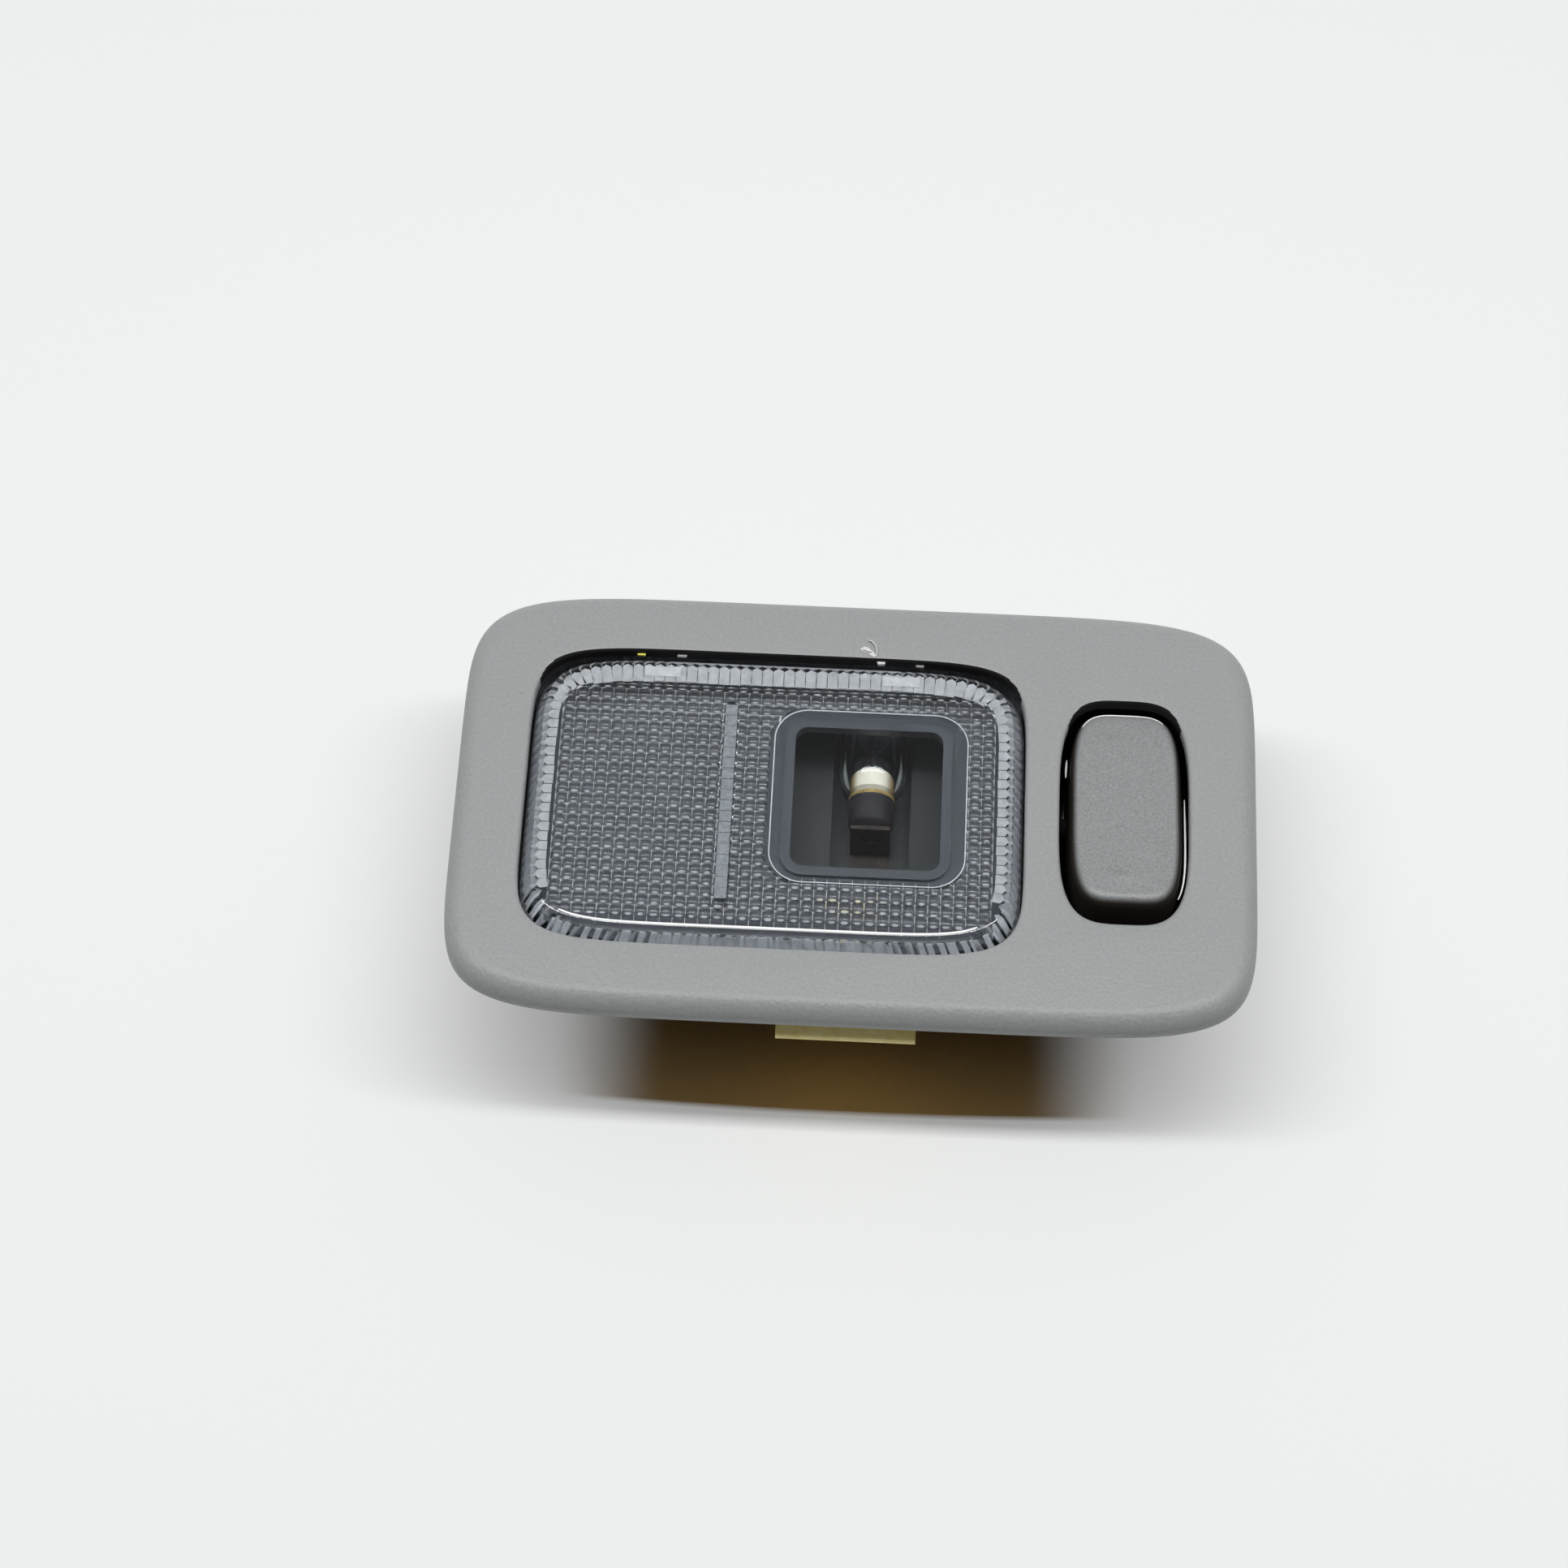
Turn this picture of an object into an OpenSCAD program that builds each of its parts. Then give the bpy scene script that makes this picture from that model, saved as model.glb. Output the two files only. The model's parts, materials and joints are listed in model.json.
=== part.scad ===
// Rectangular car interior light. A grained bezel frames a clear prismatic lens and a rocker switch.
// Behind it, a black housing holds a tubular bulb, brass strips, a see-saw contact and the connector.
// X runs along the lamp, Y across it and Z out of its face. The origin is under its middle, on its back.

/* [Bezel] */
// Length of the bezel
bezel_l = 120; // [116:1:130]
// Width of the bezel
bezel_w = 72; // [70:1:80]
// Squareness of the bezel's outline, the power of its curve
bezel_power = 7; // [6.4:0.1:8]
// Height of the face above the back of the lamp
face_z = 30; // [29.5:0.5:36]
// Thickness of the bezel's face
bezel_t = 1.8; // [1.4:0.1:2.2]
// Depth of the rim, from the face to its lower edge
rim_h = 4.2; // [3.4:0.1:5]
// Thickness of the rim
rim_t = 2; // [1.6:0.1:2.4]
// Radius of the roll from the face into the rim
rim_r = 2.9; // [2.4:0.1:3.2]
// Radius of the soft lip round the two openings
lip_r = 0.6; // [0.4:0.1:1]

/* [Lens] */
// Length of the lens at its foot
lens_l = 74.4; // [73:0.1:75.4]
// Width of the lens at its foot
lens_w = 50.2; // [48:0.1:51]
// Middle of the lens along the lamp
lens_x = -12.1; // [-12.6:0.1:-11.6]
// Squareness of the lens's outline
lens_power = 7; // [6.6:0.1:7.6]
// Depth of the lens's foot below the face
lens_depth = 7; // [6.6:0.1:7.2]
// Depth below the face at which the walls start to lean in
lens_shoulder = 4; // [3.6:0.1:4.4]
// How far the walls lean in, from the foot to the flat top
lens_inset = 2.6; // [2.2:0.1:2.8]
// Radius of the lens's top edge
lens_edge_r = 1.1; // [0.8:0.1:1.3]
// Height of the lens's top above the bezel's face
lens_proud = 0.5; // [0.2:0.1:1]
// Thickness of the lens's walls
lens_t = 2; // [1.8:0.1:2.2]
// Thickness of the lens's top
lens_top_t = 2.2; // [2:0.1:2.4]
// Pitch of the prism grid under the top
prism_pitch = 1.87; // [1.8:0.01:1.95]
// Height of each prism
prism_h = 0.7; // [0.4:0.05:0.9]
// Pitch of the flutes inside the walls
flute_pitch = 1.85; // [1.7:0.05:2.4]
// Depth of the flutes
flute_h = 0.45; // [0.2:0.05:0.6]
// Side of the plain square window
window_side = 29.8; // [28:0.1:30.4]
// Corner radius of the window
window_r = 5; // [3:0.5:7]
// Middle of the window along the lamp
window_x = 1.7; // [1:0.1:2.2]
// Height of the step round the window
window_step = 0.5; // [0.3:0.1:0.8]
// Thickness of the rib between the lens's two fields
rib_t = 1.9; // [1.2:0.1:2.2]
// Height of that rib
rib_h = 1.5; // [1:0.1:1.6]
// Length of that rib
rib_l = 35; // [30:0.5:37]
// Middle of the rib along the lamp
rib_x = -18.25; // [-19:0.05:-17]
// Width of the two snap tabs of the lens
tab_w = 6.4; // [5:0.1:7]

/* [Bulb] */
// Diameter of the bulb's glass
bulb_d = 10.3; // [9:0.1:10.4]
// Length of the bulb over its caps
bulb_l = 28; // [27.6:0.1:28.4]
// Diameter of the bulb's caps
cap_d = 7; // [6.4:0.1:7.4]
// Length of each cap
cap_l = 6.2; // [5.8:0.1:6.6]
// Depth of the bulb's axis below the face
bulb_depth = 13; // [13:0.1:13.4]
// Place of the bulb along the lamp
bulb_x = 2.3; // [1.8:0.1:2.8]
// Middle of the bulb across the lamp
bulb_y = 15.05; // [14.8:0.05:15.3]
// Length of each rounded shoulder of its glass
shoulder_l = 5; // [4.6:0.1:5.4]
// Reach of the stem past the near cap, inside the glass
stem_reach = 5.1; // [4.6:0.1:5.6]

/* [Mask] */
// Length of the aperture over the bulb
aperture_l = 22.3; // [20:0.1:23]
// Width of the aperture across the lamp
aperture_w = 24.2; // [23:0.1:24.6]
// Middle of the aperture along the lamp
aperture_x = 1.7; // [1.2:0.1:2.2]
// Middle of the aperture across the lamp
aperture_y = 2.1; // [1.8:0.1:2.4]
// Depth of the mask's upper face below the bezel's face
mask_depth = 4; // [3.8:0.1:4.4]
// Thickness of the mask
mask_t = 1.1; // [0.9:0.1:1.3]
// Height of the raised edge round the aperture
mask_edge_h = 0.6; // [0.4:0.1:0.8]

/* [Housing] */
// Thickness of the housing's walls
wall = 1.5; // [1.2:0.1:1.7]
// Depth of the tray's underside below the face
tray_depth = 16; // [15.8:0.1:16.4]
// Depth of the bulb trough's underside below the face
trough_depth = 20.2; // [20:0.1:20.5]
// Depth of the switch well's underside below the face
well_depth = 22; // [21.8:0.1:22.2]
// Thickness of the floors
floor_t = 1.4; // [1.2:0.1:1.5]
// Length of the flange that the bezel is screwed to
flange_l = 112; // [111.6:0.1:112.4]
// Width of that flange
flange_w = 61; // [60.6:0.1:61.6]
// Distance between the bezel's screws along the lamp
screw_span_x = 104; // [103.6:0.1:104.4]
// Distance between the bezel's screws across the lamp
screw_span_y = 55; // [54.6:0.1:55.4]
// Diameter of the screws' shanks
screw_d = 2.6; // [2.2:0.1:3]

/* [Switch] */
// Place of the rocker's pivot along the lamp
switch_x = 40.1; // [39.9:0.1:40.6]
// Place of the rocker's pivot across the lamp
switch_y = 0.55; // [0.3:0.05:0.8]
// Length of the switch opening, across the lamp
switch_l = 39; // [38.6:0.1:39.4]
// Width of the switch opening, along the lamp
switch_w = 19.35; // [19.1:0.05:19.5]
// Squareness of the switch opening
switch_power = 3.6; // [3.4:0.1:4]
// Length of the rocker
rocker_l = 37; // [36.2:0.1:37.2]
// Width of the rocker
rocker_w = 16.9; // [16.4:0.1:17.2]
// Squareness of the rocker
rocker_power = 4.2; // [3.8:0.1:4.6]
// Angle of the pressed rocker, either way from level
rocker_tilt = 7.65; // [7:0.05:8]
// Depth of the pivot below the face
pivot_depth = 6.5; // [6.4:0.1:6.8]
// Height of the rocker's face above its pivot
rocker_top = 6.8; // [6.6:0.1:7]
// Thickness of the rocker's walls
rocker_t = 1.5; // [1.2:0.1:1.8]
// Radius of the rocker's rounded top edge
rocker_r = 1.8; // [1.4:0.1:2]
// Diameter of the pivot stubs that the rocker hangs on
stub_d = 3.2; // [2.8:0.1:3.6]
// Reach of the sprung plunger below the pivot
plunger_reach = 8.9; // [8.8:0.05:9]
// Diameter of the plunger
plunger_d = 2.5; // [2.2:0.1:2.8]
// Length of each arm of the see-saw contact
arm_l = 7.5; // [7:0.1:8]
// Width of the see-saw contact
arm_w = 4.4; // [3.8:0.1:5]
// Rise of each arm of the see-saw contact
arm_rise = 8; // [6:0.5:9]

/* [Strips and connector] */
// Thickness of the brass strips
strip_t = 0.6; // [0.5:0.05:0.7]
// Width of the brass strips
strip_w = 3; // [2.4:0.1:3.4]
// Depth of the strips' underside below the face
strip_depth = 23.2; // [23.1:0.1:23.5]
// Spacing of the connector's blades
blade_pitch = 4.6; // [4.4:0.1:4.8]
// Length of the blades inside the connector
blade_l = 9; // [8:0.5:10]
// Inner width of the connector's mouth
mouth_w = 14; // [13.6:0.1:14.6]
// Inner height of the connector's mouth
mouth_h = 9.8; // [9.4:0.1:10]
// Depth of the connector's mouth
mouth_l = 13; // [12:0.5:14]

/* [Spring clip] */
// Width of the spring clip
clip_w = 20.6; // [18:0.1:22]
// Thickness of the spring clip
clip_t = 0.8; // [0.6:0.1:1]
// Reach of the clip's bow from the middle of the lamp
clip_reach = 34.8; // [34:0.1:35.2]
// Depth of the bow below the face
clip_depth = 10.5; // [10:0.1:11.5]

/* [Fits] */
// Gap between seated pieces
seat = 0.2; // [0.1:0.05:0.25]
// Gap round a shaft in its hole, on the radius
running = 0.05; // [0.03:0.01:0.1]

/* [Hidden] */
$fn = 48;
eps = 0.01;

// Levels, from the face down
bezel_under = face_z - bezel_t;
lens_top = face_z + lens_proud;
plate_under = lens_top - lens_top_t;
lens_foot = face_z - lens_depth;
ledge_z = lens_foot - seat;
flange_under = ledge_z - floor_t;
mask_top = face_z - mask_depth;
mask_under = mask_top - mask_t;
bulb_z = face_z - bulb_depth;
tray_under = face_z - tray_depth;
tray_floor = tray_under + floor_t;
trough_under = face_z - trough_depth;
trough_floor = trough_under + floor_t;
well_under = face_z - well_depth;
well_floor = well_under + floor_t;
strip_z = face_z - strip_depth;
pivot_z = face_z - pivot_depth;
collar_top = bezel_under - seat;

// Lens and tray outlines
lens_gap = 0.2;
opening_l = lens_l + 2 * lens_gap;
opening_w = lens_w + 2 * lens_gap;
collar_gap = 0.2;
collar_l = opening_l + 2 * collar_gap;
collar_w = opening_w + 2 * collar_gap;
ledge_reach = 2;
tray_l = lens_l - 2 * ledge_reach;
tray_w = lens_w - 2 * ledge_reach;
window_y = 1.3;
tab_x = [-29.2, 6.1];
tab_out = 0.8;
tab_h = 1.8;
tab_z = lens_foot + 0.6;

// Bulb
bulb_near = bulb_y - bulb_l / 2;
bulb_far = bulb_y + bulb_l / 2;
glass_t = 0.5;
neck_d = cap_d - 1;
cap_t = 0.35;
cap_cone = 1.6;
cap_tip_d = 2;
leaf_w = 6;
leaf_seat = 0.35;
leaf_hole_d = 3.4;
leaf_top = bulb_z + 2.6;
trough_gap = 0.8;
trough_w = bulb_d + 2 * trough_gap;
trough_near = bulb_near - 8.6;
trough_far = bulb_far + 0.5;
riser_y = trough_near + 1.4;
near_leaf_y = bulb_near + leaf_seat;
far_leaf_y = bulb_far - leaf_seat;

// Switch
well_gap = 0.3;
well_l = switch_l + 2 * well_gap;
well_w = switch_w + 2 * well_gap;
stub_end = rocker_w / 2 - rocker_t + 0.2;
bearing_d = stub_d + 2 * running;
post_d = 5.5;
post_end = 5;
bore_d = plunger_d + 2 * running;
bore_top = 4;
contact_top = pivot_z - plunger_reach - 0.25;
contact_t = 0.5;
contact_z = contact_top - contact_t;
button_h = 0.35;
button_d = 2.2;
pad_top = contact_z - button_h - 0.05;
pad_y = arm_l - 1.8;

// Corners of the strips' runs
lamp_run_x = 24;
door_run_x = 14;
earth_run_x = -33;
earth_run_y = -13.5;
earth_turn_x = switch_x - 6;

// Bezel screws and cover screws
boss_d = 6;
pilot_d = screw_d + 2 * running;
boss_gap = 0.1;
cover_wall = 1.6;
cover_top = tray_under - seat;
cover_w = 39;
cover_near_x = -37.6;
cover_far_x = 53;
cover_screw_at = [[-25, 13.6], [18.5, 14.6], [-14.5, -7.2]];
head_d = 5;
head_h = 1.6;
pad_h = 3.4;
bezel_screw_l = 6;
cover_screw_l = 7;

// Points of a rounded outline whose sides bow gently, run counter-clockwise
function signed_power(v, p) = sign(v) * pow(abs(v), p);
function outline(l, w, power, count) = [for (i = [0 : count - 1])
    let (a = 360 * i / count)
    [l / 2 * signed_power(cos(a), 2 / power), w / 2 * signed_power(sin(a), 2 / power)]];
function at_height(points, z) = [for (p = points) [p[0], p[1], z]];
function ring(l, w, power, count, z) = at_height(outline(l, w, power, count), z);

// The same outline with its points evenly spaced, every second one pushed along its normal
function run_to(points, i) = i == 0 ? 0 : run_to(points, i - 1) + norm(points[i] - points[i - 1]);
function evenly(points, count) =
    let (closed = concat(points, [points[0]]))
    let (runs = [for (i = [0 : len(closed) - 1]) run_to(closed, i)])
    let (xs = [for (i = [0 : len(closed) - 1]) [runs[i], closed[i][0]]])
    let (ys = [for (i = [0 : len(closed) - 1]) [runs[i], closed[i][1]]])
    let (total = runs[len(runs) - 1])
    [for (k = [0 : count - 1]) [lookup(total * k / count, xs), lookup(total * k / count, ys)]];
function fluted(points, depth) = [for (i = [0 : len(points) - 1])
    let (before = points[(i + len(points) - 1) % len(points)])
    let (after = points[(i + 1) % len(points)])
    let (along = (after - before) / norm(after - before))
    i % 2 == 0 ? points[i] : points[i] + depth * [along[1], -along[0]]];

// A closed solid through a stack of rings with equal numbers of points
module loft(rings) {
    n = len(rings[0]);
    points = [for (r = rings) each r];
    sides = [for (j = [0 : len(rings) - 2]) for (i = [0 : n - 1])
        let (a = j * n + i)
        let (b = j * n + (i + 1) % n)
        each [[a, a + n, b + n], [a, b + n, b]]];
    bottom = [[for (i = [0 : n - 1]) i]];
    top = [[for (i = [0 : n - 1]) len(points) - 1 - i]];
    polyhedron(points, concat(bottom, sides, top));
}

// A bent strip: its centre line thickened to both sides with mitred corners
function unit(v) = v / norm(v);
function left_of(v) = [-v[1], v[0]];
function mitre(path, i) =
    let (a = i == 0 ? unit(path[1] - path[0]) : unit(path[i] - path[i - 1]))
    let (b = i == len(path) - 1 ? a : unit(path[i + 1] - path[i]))
    let (m = unit(left_of(a) + left_of(b)))
    m / (m * left_of(a));
function ribbon(path, t) = concat(
    [for (i = [0 : len(path) - 1]) path[i] + t / 2 * mitre(path, i)],
    [for (i = [len(path) - 1 : -1 : 0]) path[i] - t / 2 * mitre(path, i)]);
// A profile drawn in Y and Z, extruded along X and centred on x
module along_x(x, w) {
    translate([x - w / 2, 0, 0]) rotate([90, 0, 90]) linear_extrude(w) children();
}
module block(low, high) {
    translate(low) cube(high - low);
}
module rounded_rect(l, w, r) {
    square([l - 2 * r, w], center = true);
    square([l, w - 2 * r], center = true);
    for (x = [-1, 1], y = [-1, 1]) translate([x * (l / 2 - r), y * (w / 2 - r)]) circle(r);
}
module for_bezel_screws() {
    for (x = [-1, 1], y = [-1, 1]) translate([x * screw_span_x / 2, y * screw_span_y / 2, 0]) children();
}

// Bezel
bezel_points = 96;
opening_points = 72;
function rolled(t) = rim_r * (1 - cos(t));
bezel_rings = concat(
    [ring(bezel_l - 0.8, bezel_w - 0.8, bezel_power, bezel_points, face_z - rim_h),
     ring(bezel_l, bezel_w, bezel_power, bezel_points, face_z - rim_h + 0.5)],
    [for (t = [0 : 15 : 90]) ring(bezel_l - 2 * rolled(t), bezel_w - 2 * rolled(t), bezel_power, bezel_points,
        face_z - rim_r + rim_r * sin(t))]);
function cavity_ring(inset, z) =
    ring(bezel_l - 2 * rim_t - inset, bezel_w - 2 * rim_t - inset, bezel_power, bezel_points, z);
function lip_rings(l, w, power) = concat(
    [ring(l, w, power, opening_points, bezel_under - 1)],
    [for (t = [0 : 22.5 : 90]) ring(l + 2 * lip_r * (1 - cos(t)), w + 2 * lip_r * (1 - cos(t)), power,
        opening_points, face_z - lip_r + lip_r * sin(t))],
    [ring(l + 2 * lip_r, w + 2 * lip_r, power, opening_points, face_z + 1)]);
module bezel() {
    boss_foot = ledge_z + boss_gap;
    color("#9a9e9e")
    difference() {
        union() {
            difference() {
                loft(bezel_rings);
                loft([cavity_ring(0, face_z - rim_h - 1), cavity_ring(0, bezel_under - 0.6),
                    cavity_ring(1.2, bezel_under)]);
            }
            for_bezel_screws() translate([0, 0, boss_foot])
                cylinder(d = boss_d, h = bezel_under - boss_foot + bezel_t / 3);
        }
        translate([lens_x, 0, 0]) loft(lip_rings(opening_l, opening_w, lens_power));
        translate([switch_x, switch_y, 0]) loft(lip_rings(switch_w, switch_l, switch_power));
        for_bezel_screws() translate([0, 0, boss_foot - 1])
            cylinder(d = pilot_d, h = bezel_under - boss_foot + 0.8);
    }
}

// Lens
lens_points = 96;
flute_count = round(2 * (lens_l + lens_w - 4 * lens_t) / flute_pitch);
function leaning(inset, z) = ring(lens_l - 2 * inset, lens_w - 2 * inset, lens_power, lens_points, z);
function hollow(inset, depth, z) = at_height(fluted(evenly(
    outline(lens_l - 2 * lens_t - 2 * inset, lens_w - 2 * lens_t - 2 * inset, lens_power, lens_points),
    2 * flute_count), depth), z);
field_margin = 2;
function whole_cells(room) = floor(room / prism_pitch);
cells_x = whole_cells(lens_l - 2 * lens_t - 2 * lens_inset - 2 * field_margin);
cells_y = whole_cells(lens_w - 2 * lens_t - 2 * lens_inset - 2 * field_margin);
field_step = 0.25;
fused = field_step + prism_h + 0.1;
module prism_field() {
    nx = cells_x + 1;
    ny = cells_y + 1;
    function corner(i, j) = j * nx + i;
    function peak(i, j) = nx * ny + j * cells_x + i;
    function cell_x(i) = (i - cells_x / 2) * prism_pitch;
    function cell_y(j) = (j - cells_y / 2) * prism_pitch;
    corners = [for (j = [0 : cells_y]) for (i = [0 : cells_x]) [cell_x(i), cell_y(j), field_step]];
    peaks = [for (j = [0 : cells_y - 1]) for (i = [0 : cells_x - 1])
        [cell_x(i + 0.5), cell_y(j + 0.5), field_step + prism_h]];
    border = concat(
        [for (i = [0 : cells_x - 1]) corner(i, 0)],
        [for (j = [0 : cells_y - 1]) corner(cells_x, j)],
        [for (i = [cells_x : -1 : 1]) corner(i, cells_y)],
        [for (j = [cells_y : -1 : 1]) corner(0, j)]);
    feet = [for (k = border) [corners[k][0], corners[k][1], -1]];
    first_foot = nx * ny + cells_x * cells_y;
    slopes = [for (j = [0 : cells_y - 1]) for (i = [0 : cells_x - 1])
        let (c = peak(i, j))
        each [[corner(i + 1, j), corner(i, j), c], [corner(i + 1, j + 1), corner(i + 1, j), c],
            [corner(i, j + 1), corner(i + 1, j + 1), c], [corner(i, j), corner(i, j + 1), c]]];
    walls = [for (k = [0 : len(border) - 1])
        let (next = (k + 1) % len(border))
        [border[k], border[next], first_foot + next, first_foot + k]];
    bottom = [[for (k = [0 : len(border) - 1]) first_foot + k]];
    polyhedron(concat(corners, peaks, feet), concat(slopes, walls, bottom));
}
module snap_tab(x, side) {
    root = lens_w / 2 - lens_t + 0.3;
    nose = lens_w / 2 + tab_out;
    for (end = [0, tab_h]) hull() {
        translate([x - tab_w / 2, side * root - 0.2, tab_z + tab_h / 2 - 0.2]) cube([tab_w, 0.4, 0.4]);
        translate([x - tab_w / 2, side * nose - 0.2, tab_z + tab_h / 2 - 0.2]) cube([tab_w, 0.2, 0.4]);
        translate([x - tab_w / 2, side * (nose - tab_out) - 0.2, tab_z + end - 0.1]) cube([tab_w, 0.2, 0.1]);
    }
}
module lens() {
    lean_top = lens_inset - lens_edge_r;
    color("#c9d4dc", 0.4)
    union() {
        difference() {
            translate([lens_x, 0, 0]) loft(concat(
                [leaning(0, lens_foot), leaning(0, face_z - lens_shoulder)],
                [for (t = [0 : 22.5 : 90]) leaning(lens_inset - lens_edge_r * cos(t),
                    lens_top - lens_edge_r + lens_edge_r * sin(t))]));
            translate([lens_x, 0, 0]) loft([
                hollow(0, flute_h, lens_foot - 1),
                hollow(0, flute_h, face_z - lens_shoulder),
                hollow(lean_top, flute_h, plate_under)]);
            translate([lens_x, 0, plate_under]) prism_field();
        }
        translate([window_x, window_y, plate_under - window_step]) linear_extrude(window_step + fused)
            hull() for (x = [-1, 1], y = [-1, 1])
                translate([x, y] * (window_side / 2 - window_r)) circle(window_r, $fn = 32);
        translate([rib_x, 0, plate_under - rib_h]) linear_extrude(rib_h + fused)
            hull() for (y = [-rib_l / 2 - 1, rib_l / 2]) translate([0, y]) circle(rib_t / 2, $fn = 16);
        for (x = tab_x, side = [-1, 1]) snap_tab(x, side);
    }
}

// Mask under the lens, with its aperture over the bulb
mask_l = lens_l - 2 * lens_t - 1.4;
mask_w = lens_w - 2 * lens_t - 1.4;
post_at = [[-41, -14], [-41, 14], [18, -15.5], [-15.5, -15.5], [-15.5, 15.5], [18, 15.5]];
module light_mask() {
    color("#3a3e42")
    difference() {
        union() {
            translate([lens_x, 0, mask_under]) linear_extrude(mask_t)
                polygon(outline(mask_l, mask_w, lens_power, lens_points));
            translate([aperture_x, aperture_y, mask_top - eps]) linear_extrude(mask_edge_h)
                rounded_rect(aperture_l + 2 * wall, aperture_w + 2 * wall, 2 + wall);
        }
        translate([aperture_x, aperture_y, mask_under - 1]) linear_extrude(mask_t + mask_edge_h + 2)
            rounded_rect(aperture_l, aperture_w, 2);
    }
}

// Housing
hook_x = 26;
hook_w = 9;
hook_reach = 9;
rail_t = 1.6;
shroud_t = 1.5;
shroud_far = -38;
shroud_near = shroud_far - wall - mouth_l;
mouth_z = strip_z + strip_t / 2;
clip_slot = clip_t + 0.1;
module collar_outline(grow) {
    polygon(outline(collar_l + 2 * grow, collar_w + 2 * grow, lens_power, lens_points));
}
module tray_outline(grow) {
    polygon(outline(tray_l + 2 * grow, tray_w + 2 * grow, lens_power, lens_points));
}
module well_outline(grow) {
    polygon(outline(well_w + 2 * grow, well_l + 2 * grow, switch_power, opening_points));
}
module housing_shell() {
    translate([0, 0, flange_under]) linear_extrude(floor_t) difference() {
        rounded_rect(flange_l, flange_w, 6);
        translate([0, -flange_w / 2]) square([clip_w + 6, 2 * (flange_w / 2 - collar_w / 2 - wall)], center = true);
    }
    translate([lens_x, 0, flange_under]) linear_extrude(collar_top - flange_under) collar_outline(wall);
    translate([switch_x, switch_y, well_under]) linear_extrude(collar_top - well_under) well_outline(wall);
    for (x = [-hook_x, hook_x]) retaining_hook(x);
}
module tray_shell() {
    translate([lens_x, 0, tray_under]) linear_extrude(flange_under - tray_under) tray_outline(wall);
    block([bulb_x - trough_w / 2 - wall, trough_near - wall, trough_under],
        [bulb_x + trough_w / 2 + wall, trough_far + wall, flange_under]);
    block([shroud_near, -mouth_w / 2 - shroud_t, mouth_z - mouth_h / 2 - shroud_t],
        [shroud_far, mouth_w / 2 + shroud_t, tray_under + eps]);
    for (side = [-1, 1]) clip_rail(side);
}
module retaining_hook(x) {
    root = collar_w / 2 - 2;
    back = tray_w / 2 + wall;
    along_x(x, hook_w) polygon([[back, flange_under + eps], [back, flange_under - 7], [root + 2.4, flange_under - 7],
        [root + hook_reach, flange_under - 3.4], [root + hook_reach, flange_under - 2], [root + 4.6, flange_under - 1.4],
        [root + 4.6, flange_under + eps]]);
}
module clip_rail(side) {
    x = side * (clip_w / 2 + 0.15);
    back = -tray_w / 2 - wall + 0.5;
    front = -collar_w / 2 - wall;
    block([min(x, x + side * rail_t), front - clip_slot - 1, tray_under],
        [max(x, x + side * rail_t), back, flange_under]);
    block([min(x - side * 1.2, x), front - clip_slot - 1, tray_under],
        [max(x - side * 1.2, x) + eps, front - clip_slot, tray_under + 5]);
    block([min(x - side * 1.2, x), front, tray_under],
        [max(x - side * 1.2, x) + eps, back, tray_under + 5]);
}
module tray_hollow() {
    translate([lens_x, 0, tray_floor]) linear_extrude(ledge_z - tray_floor + 1) tray_outline(0);
}
module housing_hollows() {
    translate([lens_x, 0, ledge_z]) linear_extrude(collar_top - ledge_z + 1) collar_outline(0);
    tray_hollow();
    translate([switch_x, switch_y, well_floor]) linear_extrude(collar_top - well_floor + 1) well_outline(0);
    for (x = tab_x, side = [-1, 1])
        translate([x, side * (collar_w / 2 + wall / 2), tab_z + tab_h / 2])
            cube([tab_w + 0.6, wall + 1, tab_h + 0.5], center = true);
}
module tray_hollows() {
    tray_hollow();
    block([bulb_x - trough_w / 2, trough_near, trough_floor],
        [bulb_x + trough_w / 2, trough_far, flange_under + 1]);
    block([shroud_near - 1, -mouth_w / 2, mouth_z - mouth_h / 2],
        [shroud_far - wall, mouth_w / 2, mouth_z + mouth_h / 2]);
}
module tray_holes() {
    for (at = cover_screw_at) translate([at[0], at[1], pad_h + boss_gap - 1]) cylinder(d = pilot_d, h = cover_screw_l + 0.4);
    for (y = [-1, 0, 1]) translate([shroud_far - wall / 2, y * blade_pitch, mouth_z])
        cube([wall + 1, strip_w + 0.3, strip_t + 0.2], center = true);
    slot(bulb_x, riser_y, leaf_w, trough_under);
    slot(bulb_x, far_leaf_y + strip_t / 2, leaf_w, trough_under);
}
module slot(x, y, w, z) {
    translate([x, y, z + floor_t / 2]) cube([w + 0.3, strip_t + 0.3, floor_t + 1], center = true);
}
module lamp_housing() {
    color("#141517")
    difference() {
        union() {
            difference() {
                housing_shell();
                housing_hollows();
            }
            for (side = [-1, 1]) translate([switch_x + side * stub_end, switch_y, pivot_z])
                rotate([0, side * 90, 0]) cylinder(d = stub_d, h = well_w / 2 + wall / 2 - stub_end);
        }
        for_bezel_screws() translate([0, 0, flange_under - 1]) cylinder(d = screw_d + 0.6, h = floor_t + 2);
        for (y = riser_at) slot(switch_x, y, arm_w, well_under);
    }
}

// Tray under the housing's flange, with the bulb's trough and the connector's shroud
module lamp_tray() {
    color("#141517")
    difference() {
        union() {
            difference() {
                tray_shell();
                tray_hollows();
            }
            for (at = post_at) translate([at[0], at[1], tray_floor - eps])
                cylinder(d = 4, h = mask_under - 0.1 - tray_floor);
            for (at = cover_screw_at) translate([at[0], at[1], pad_h + boss_gap])
                cylinder(d = boss_d, h = tray_under + eps - pad_h - boss_gap);
        }
        tray_holes();
    }
}

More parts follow.
